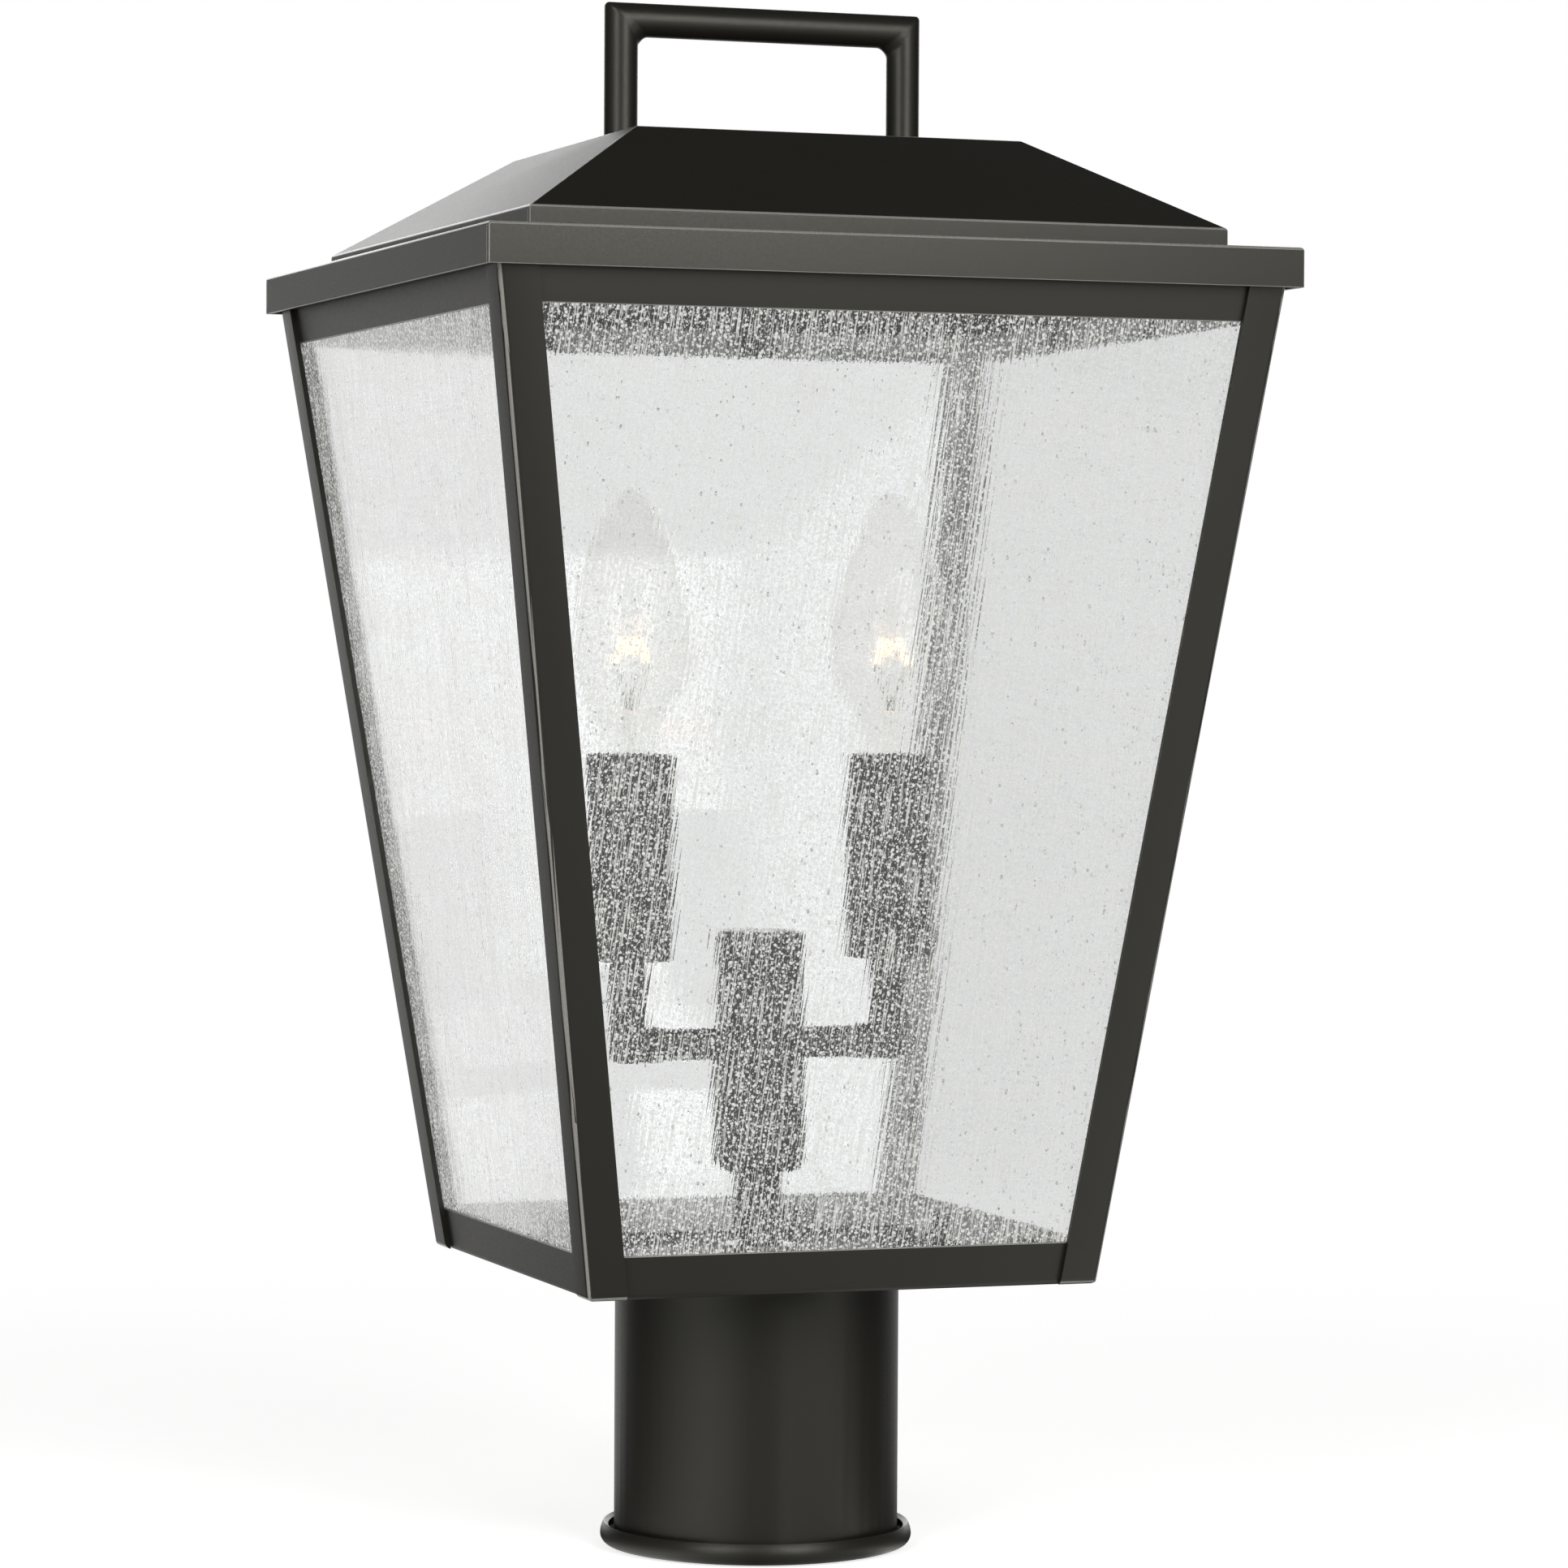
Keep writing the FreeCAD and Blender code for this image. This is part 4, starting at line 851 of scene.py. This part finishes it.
handle = {
    "bar": 4.7, "sides": 64,
    "outerRound": 1.2, "innerRound": 3.2, "cornerRows": 13,
    "weldRise": 0.14, "weldWidth": 1.6,
    "weldOutside": 0.5, "weldInside": 1.5,  # how much of the rise there is outside, and how much more inside
    "weldRough": 5,       # how many sides a lump of the weld is wide
    "chance": 5,          # where the random draws start
    "footWeld": 0.35,
    "footShape": [(0, 1), (0.5, 0.6), (1.6, 0.1), (2.5, 0)],  # height and swell, in shares of the foot weld
    "straightTo": 2.2,    # bar radii from the corner's middle
}


def weldedBar(settings):
    # lines of the bar run up, round the corner and across; the corner's radius grows from its outside to its
    # inside, and the ground weld stands a little proud along the middle of the turn, unevenly
    low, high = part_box("lift_handle")
    bar, sides, foot = settings["bar"], settings["sides"], settings["footWeld"]
    legX = high.x / mm - bar
    footZ, topZ = low.z / mm, high.z / mm - bar
    straight = settings["straightTo"] * bar
    angle = fullTurn(sides)
    inwards, depth = np.cos(angle), np.sin(angle)
    inside = (0.5 + 0.5 * inwards) ** 2
    corner = settings["outerRound"] + (settings["innerRound"] - settings["outerRound"]) * inside
    reach = bar * inwards
    leg = [(footZ, -bar)] + [(footZ + up * foot, out * foot) for up, out in settings["footShape"]]
    leg += [((footZ + topZ) / 2, 0), (topZ - straight, 0)]
    half = [aroundAxis(bar + swell, angle, z) - np.array([legX, 0, 0]) for z, swell in leg]
    lumps = np.tile(np.random.default_rng(settings["chance"]).random(sides), 3)
    rough = settings["weldRough"]
    wander = np.convolve(lumps, np.ones(rough) / rough, "same")[sides:2 * sides]
    rise = settings["weldRise"] * (settings["weldOutside"] + settings["weldInside"] * inside)
    for share in np.linspace(0, 1, settings["cornerRows"]):
        turn = share * np.pi / 2
        x = -legX + reach + corner - corner * np.cos(turn)
        z = topZ - reach - corner + corner * np.sin(turn)
        middle = (share - 0.5) * settings["cornerRows"] / settings["weldWidth"] / 2
        proud = rise * wander * np.exp(-middle ** 2)
        aslant = proud * inwards * math.sqrt(0.5)
        half.append(np.stack([x + aslant, (bar + proud) * depth, z - aslant], axis=-1))
    half.append(np.stack([np.full(sides, straight - legX), bar * depth, topZ - reach], axis=-1))
    half = np.stack(half)
    points = np.concatenate([half, half[::-1] * np.array([-1, 1, 1])]) * mm
    # the top of the bar stays level, and the outside of the legs upright
    points = np.clip(points, np.array(low), np.array(high))
    quads = gridQuads(len(points), sides, False, True)
    return surfacePiece("lift_handle_bar", points, quads, sharpAngle=50)


standFor(weldedBar(handle), "lift_handle")
print("handle welded")


# lid screws: knurled heads and machine threads

lidScrew = {
    "radius": 2.0, "depth": 0.22, "pitch": 0.7, "steps": 40,
    "headRadius": 4.7, "headHeight": 4.0, "headEdge": 0.5, "seatEdge": 0.3,
    "knurls": 40, "knurlDepth": 0.28, "knurlStart": 0.6, "stepsToKnurl": 6,
}


def knurledHead(name, settings, base, direction):
    # straight knurls: radius = head radius less a rounded tooth that repeats round it, faded at both rims
    steps = settings["knurls"] * settings["stepsToKnurl"]
    angle = fullTurn(steps)[None, :]
    height, outer, start = settings["headHeight"], settings["headRadius"], settings["knurlStart"]
    edge, seat = settings["headEdge"], settings["seatEdge"]
    # height, radius and share of the knurl, from the seat to the top
    rows = np.array([
        (0, 0, 0), (0, outer - seat, 0), (seat, outer, 0), (start, outer, 1),
        (height - start, outer, 1), (height - edge, outer, 0.3), (height, outer - edge, 0), (height, 0, 0)])
    z, reach, knurl = rows[:, 0:1], rows[:, 1:2], rows[:, 2:3]
    tooth = settings["knurlDepth"] * knurl * (0.5 - 0.5 * np.cos(settings["knurls"] * angle))
    points = aimed(aroundAxis(reach - tooth, angle, z) * mm, base, direction)
    return surfacePiece(name, points, gridQuads(len(rows), steps, False, True), sharpAngle=50)


for side in ("left", "right"):
    name = "lid_screw_" + side
    low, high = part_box(name)
    middle = middleOf(name)
    headY = high.y - lidScrew["headHeight"] * mm
    shank = dict(lidScrew, length=(headY - low.y) / mm)
    standFor(knurledHead(name + "_head", lidScrew, (middle.x, headY, middle.z), (0, 1, 0)), name)
    addTo(threadedRod(name + "_shank", shank, (middle.x, low.y, middle.z), (0, 1, 0)), name)
cleanCopy("lid_nuts", 0.15, sheetEdges)
print("lid screws cut")


# lamps: torpedo bulbs with an edison cap, stem, leads and coiled filament; outlines are radius and height

lamp = {
    "envelope": [(6.45, 0), (6.5, 4), (7.3, 9), (10.6, 16), (14.8, 23), (17.2, 30), (17.45, 35), (16.5, 44),
                 (13.6, 56), (9.6, 67), (6.2, 74), (3.2, 77.7), (0.0, 79.0)],
    "wall": 0.45,
    # flared foot, neck and flattened pinch
    "stem": [(4.4, 0.2), (3.4, 2.5), (2.2, 7), (1.9, 14), (1.9, 18.5), (1.2, 20), (0, 20.2)],
    "archHalf": 4.6, "archRise": 7.5, "archZ": 30.0, "humps": 0.65,
    "coilRadius": 0.55, "coilPitch": 0.62, "wire": 0.16,
    "coilAside": (0.37, 0.2, 0.9),  # a way that the wire never runs
    # sideways and height, from the pinch up to the arch's foot
    "leadKnots": [(0.6, 17), (0.7, 20.5), (2.6, 25), (4.3, 28.6), (4.6, 30.2)],
    "lead": 0.3,
    "cap": {"radius": 5.95, "depth": 0.62, "pitch": 2.54, "rounded": True, "steps": 72},
    "collar": [(0, 0), (6.4, 0), (6.9, 0.5), (6.9, 1.2), (6.6, 1.7), (0, 1.7)],
    "button": [(0, 0), (1.6, 0.1), (2.3, 0.7), (2.4, 1.5), (0, 1.5)],
    "shellWall": 0.35, "shellWave": 0.036,
    "rows": {"envelope": 90, "stem": 40, "coil": 1600, "lead": 30, "shell": 60},
    "sides": {"envelope": 96, "stem": 48, "coil": 6, "lead": 10, "shell": 64, "collar": 64, "button": 40},
}


def inset(outline, wall):
    # each point moves square to the outline, inwards
    run = np.gradient(outline, axis=0)
    run /= np.linalg.norm(run, axis=1)[:, None]
    inner = outline + wall * np.stack([-run[:, 1], run[:, 0]], axis=-1)
    inner[:, 0] = np.maximum(inner[:, 0], 0)
    inner[-1, 0] = 0
    return inner


def coilPath(settings):
    # a coil wound along two humps; u runs from minus one to one across them, and the height is the rise times
    # the humps' share of the squared sine of pi u, and the rest of the half circle over u
    u = -np.cos(np.pi * np.linspace(0, 1, settings["rows"]["coil"]))
    humps = settings["humps"]
    height = humps * np.sin(np.pi * u) ** 2 + (1 - humps) * np.sqrt(1 - u ** 2)
    z = settings["archZ"] + settings["archRise"] * height
    arch = np.stack([settings["archHalf"] * u, 0 * u, z], axis=-1)
    run = np.gradient(arch, axis=0)
    step = np.linalg.norm(run, axis=1)
    outwards = np.stack([-run[:, 2], 0 * u, run[:, 0]], axis=-1) / step[:, None]
    phase = 2 * np.pi * np.cumsum(step)[:, None] / settings["coilPitch"]
    return arch + settings["coilRadius"] * (outwards * np.cos(phase) + np.array([0, 1, 0]) * np.sin(phase))


def buildLamp(side, settings):
    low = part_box("bulb_glass_" + side)[0]
    centre = np.array((middleOf("bulb_glass_" + side).x, 0, low.z))
    start = "bulb_" + side
    rows, sides = settings["rows"], settings["sides"]
    outer = smoothOutline(settings["envelope"], rows["envelope"])
    outline = np.concatenate([outer, inset(outer, settings["wall"])[::-1]])
    glass = turnedPiece(start + "_envelope", outline, centre, sides["envelope"], closed=True)
    standFor(glass, "bulb_glass_" + side)

    stem = smoothOutline(settings["stem"], rows["stem"])
    stem = np.concatenate([[(0, stem[0, 1])], stem])
    standFor(turnedPiece(start + "_stem", stem, centre, sides["stem"]), "bulb_stem_" + side)

    coil = tubeAlong(start + "_coil", coilPath(settings) * mm + centre, settings["wire"] * mm, sides["coil"],
                     settings["coilAside"])
    standFor(coil, "bulb_filament_" + side)
    for end, name in ((-1, "_lead_a"), (1, "_lead_b")):
        path = smoothOutline([(end * x, 0, z) for x, z in settings["leadKnots"]], rows["lead"])
        lead = tubeAlong(start + name, path * mm + centre, settings["lead"] * mm, sides["lead"], (0, 1, 0))
        addTo(lead, "bulb_filament_" + side, finish["leads"])

    # cap: threaded shell, a plain collar over it and a solder button under it
    low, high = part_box("bulb_base_" + side)
    capLow = low.z + settings["button"][-1][1] * mm
    collarZ = high.z - settings["collar"][-1][1] * mm
    thread = dict(settings["cap"], length=(collarZ - capLow) / mm)
    base = "bulb_base_" + side
    standFor(threadedRod(start + "_cap", thread, (centre[0], 0, capLow), (0, 0, 1)), base)
    collar = turnedPiece(start + "_collar", settings["collar"], (centre[0], 0, collarZ), sides["collar"])
    addTo(collar, base)
    button = turnedPiece(start + "_contact", settings["button"], (centre[0], 0, low.z), sides["button"])
    addTo(button, base, finish["zinc_steel"])


def buildShell(side, settings):
    # the socket's shell: a thin wall whose outside follows the lamp's thread, faded out at both rims
    node = "socket_shell_" + side
    low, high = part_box(node)
    outer = (high.x - low.x) / 2 / mm
    length = (high.z - low.z) / mm
    pitch, rows, steps = settings["cap"]["pitch"], settings["rows"]["shell"], settings["sides"]["shell"]
    z = np.linspace(0, length, rows)[:, None]
    angle = fullTurn(steps)[None, :]
    runOut = np.minimum(1, np.minimum(z, length - z) / pitch)
    wave = settings["shellWave"] * (1 - np.cos(2 * np.pi * z / pitch - angle)) * runOut
    outside = aroundAxis(outer - wave, angle, z)
    inside = aroundAxis(outer - settings["shellWall"], angle, z)
    points = np.concatenate([outside, inside[::-1]]) * mm + np.array([middleOf(node).x, 0, low.z])
    quads = gridQuads(2 * rows, steps, True, True)
    standFor(surfacePiece(node + "_rolled", points, quads, sharpAngle=50), node)


for side in ("left", "right"):
    buildLamp(side, lamp)
    buildShell(side, lamp)
print("lamps built")
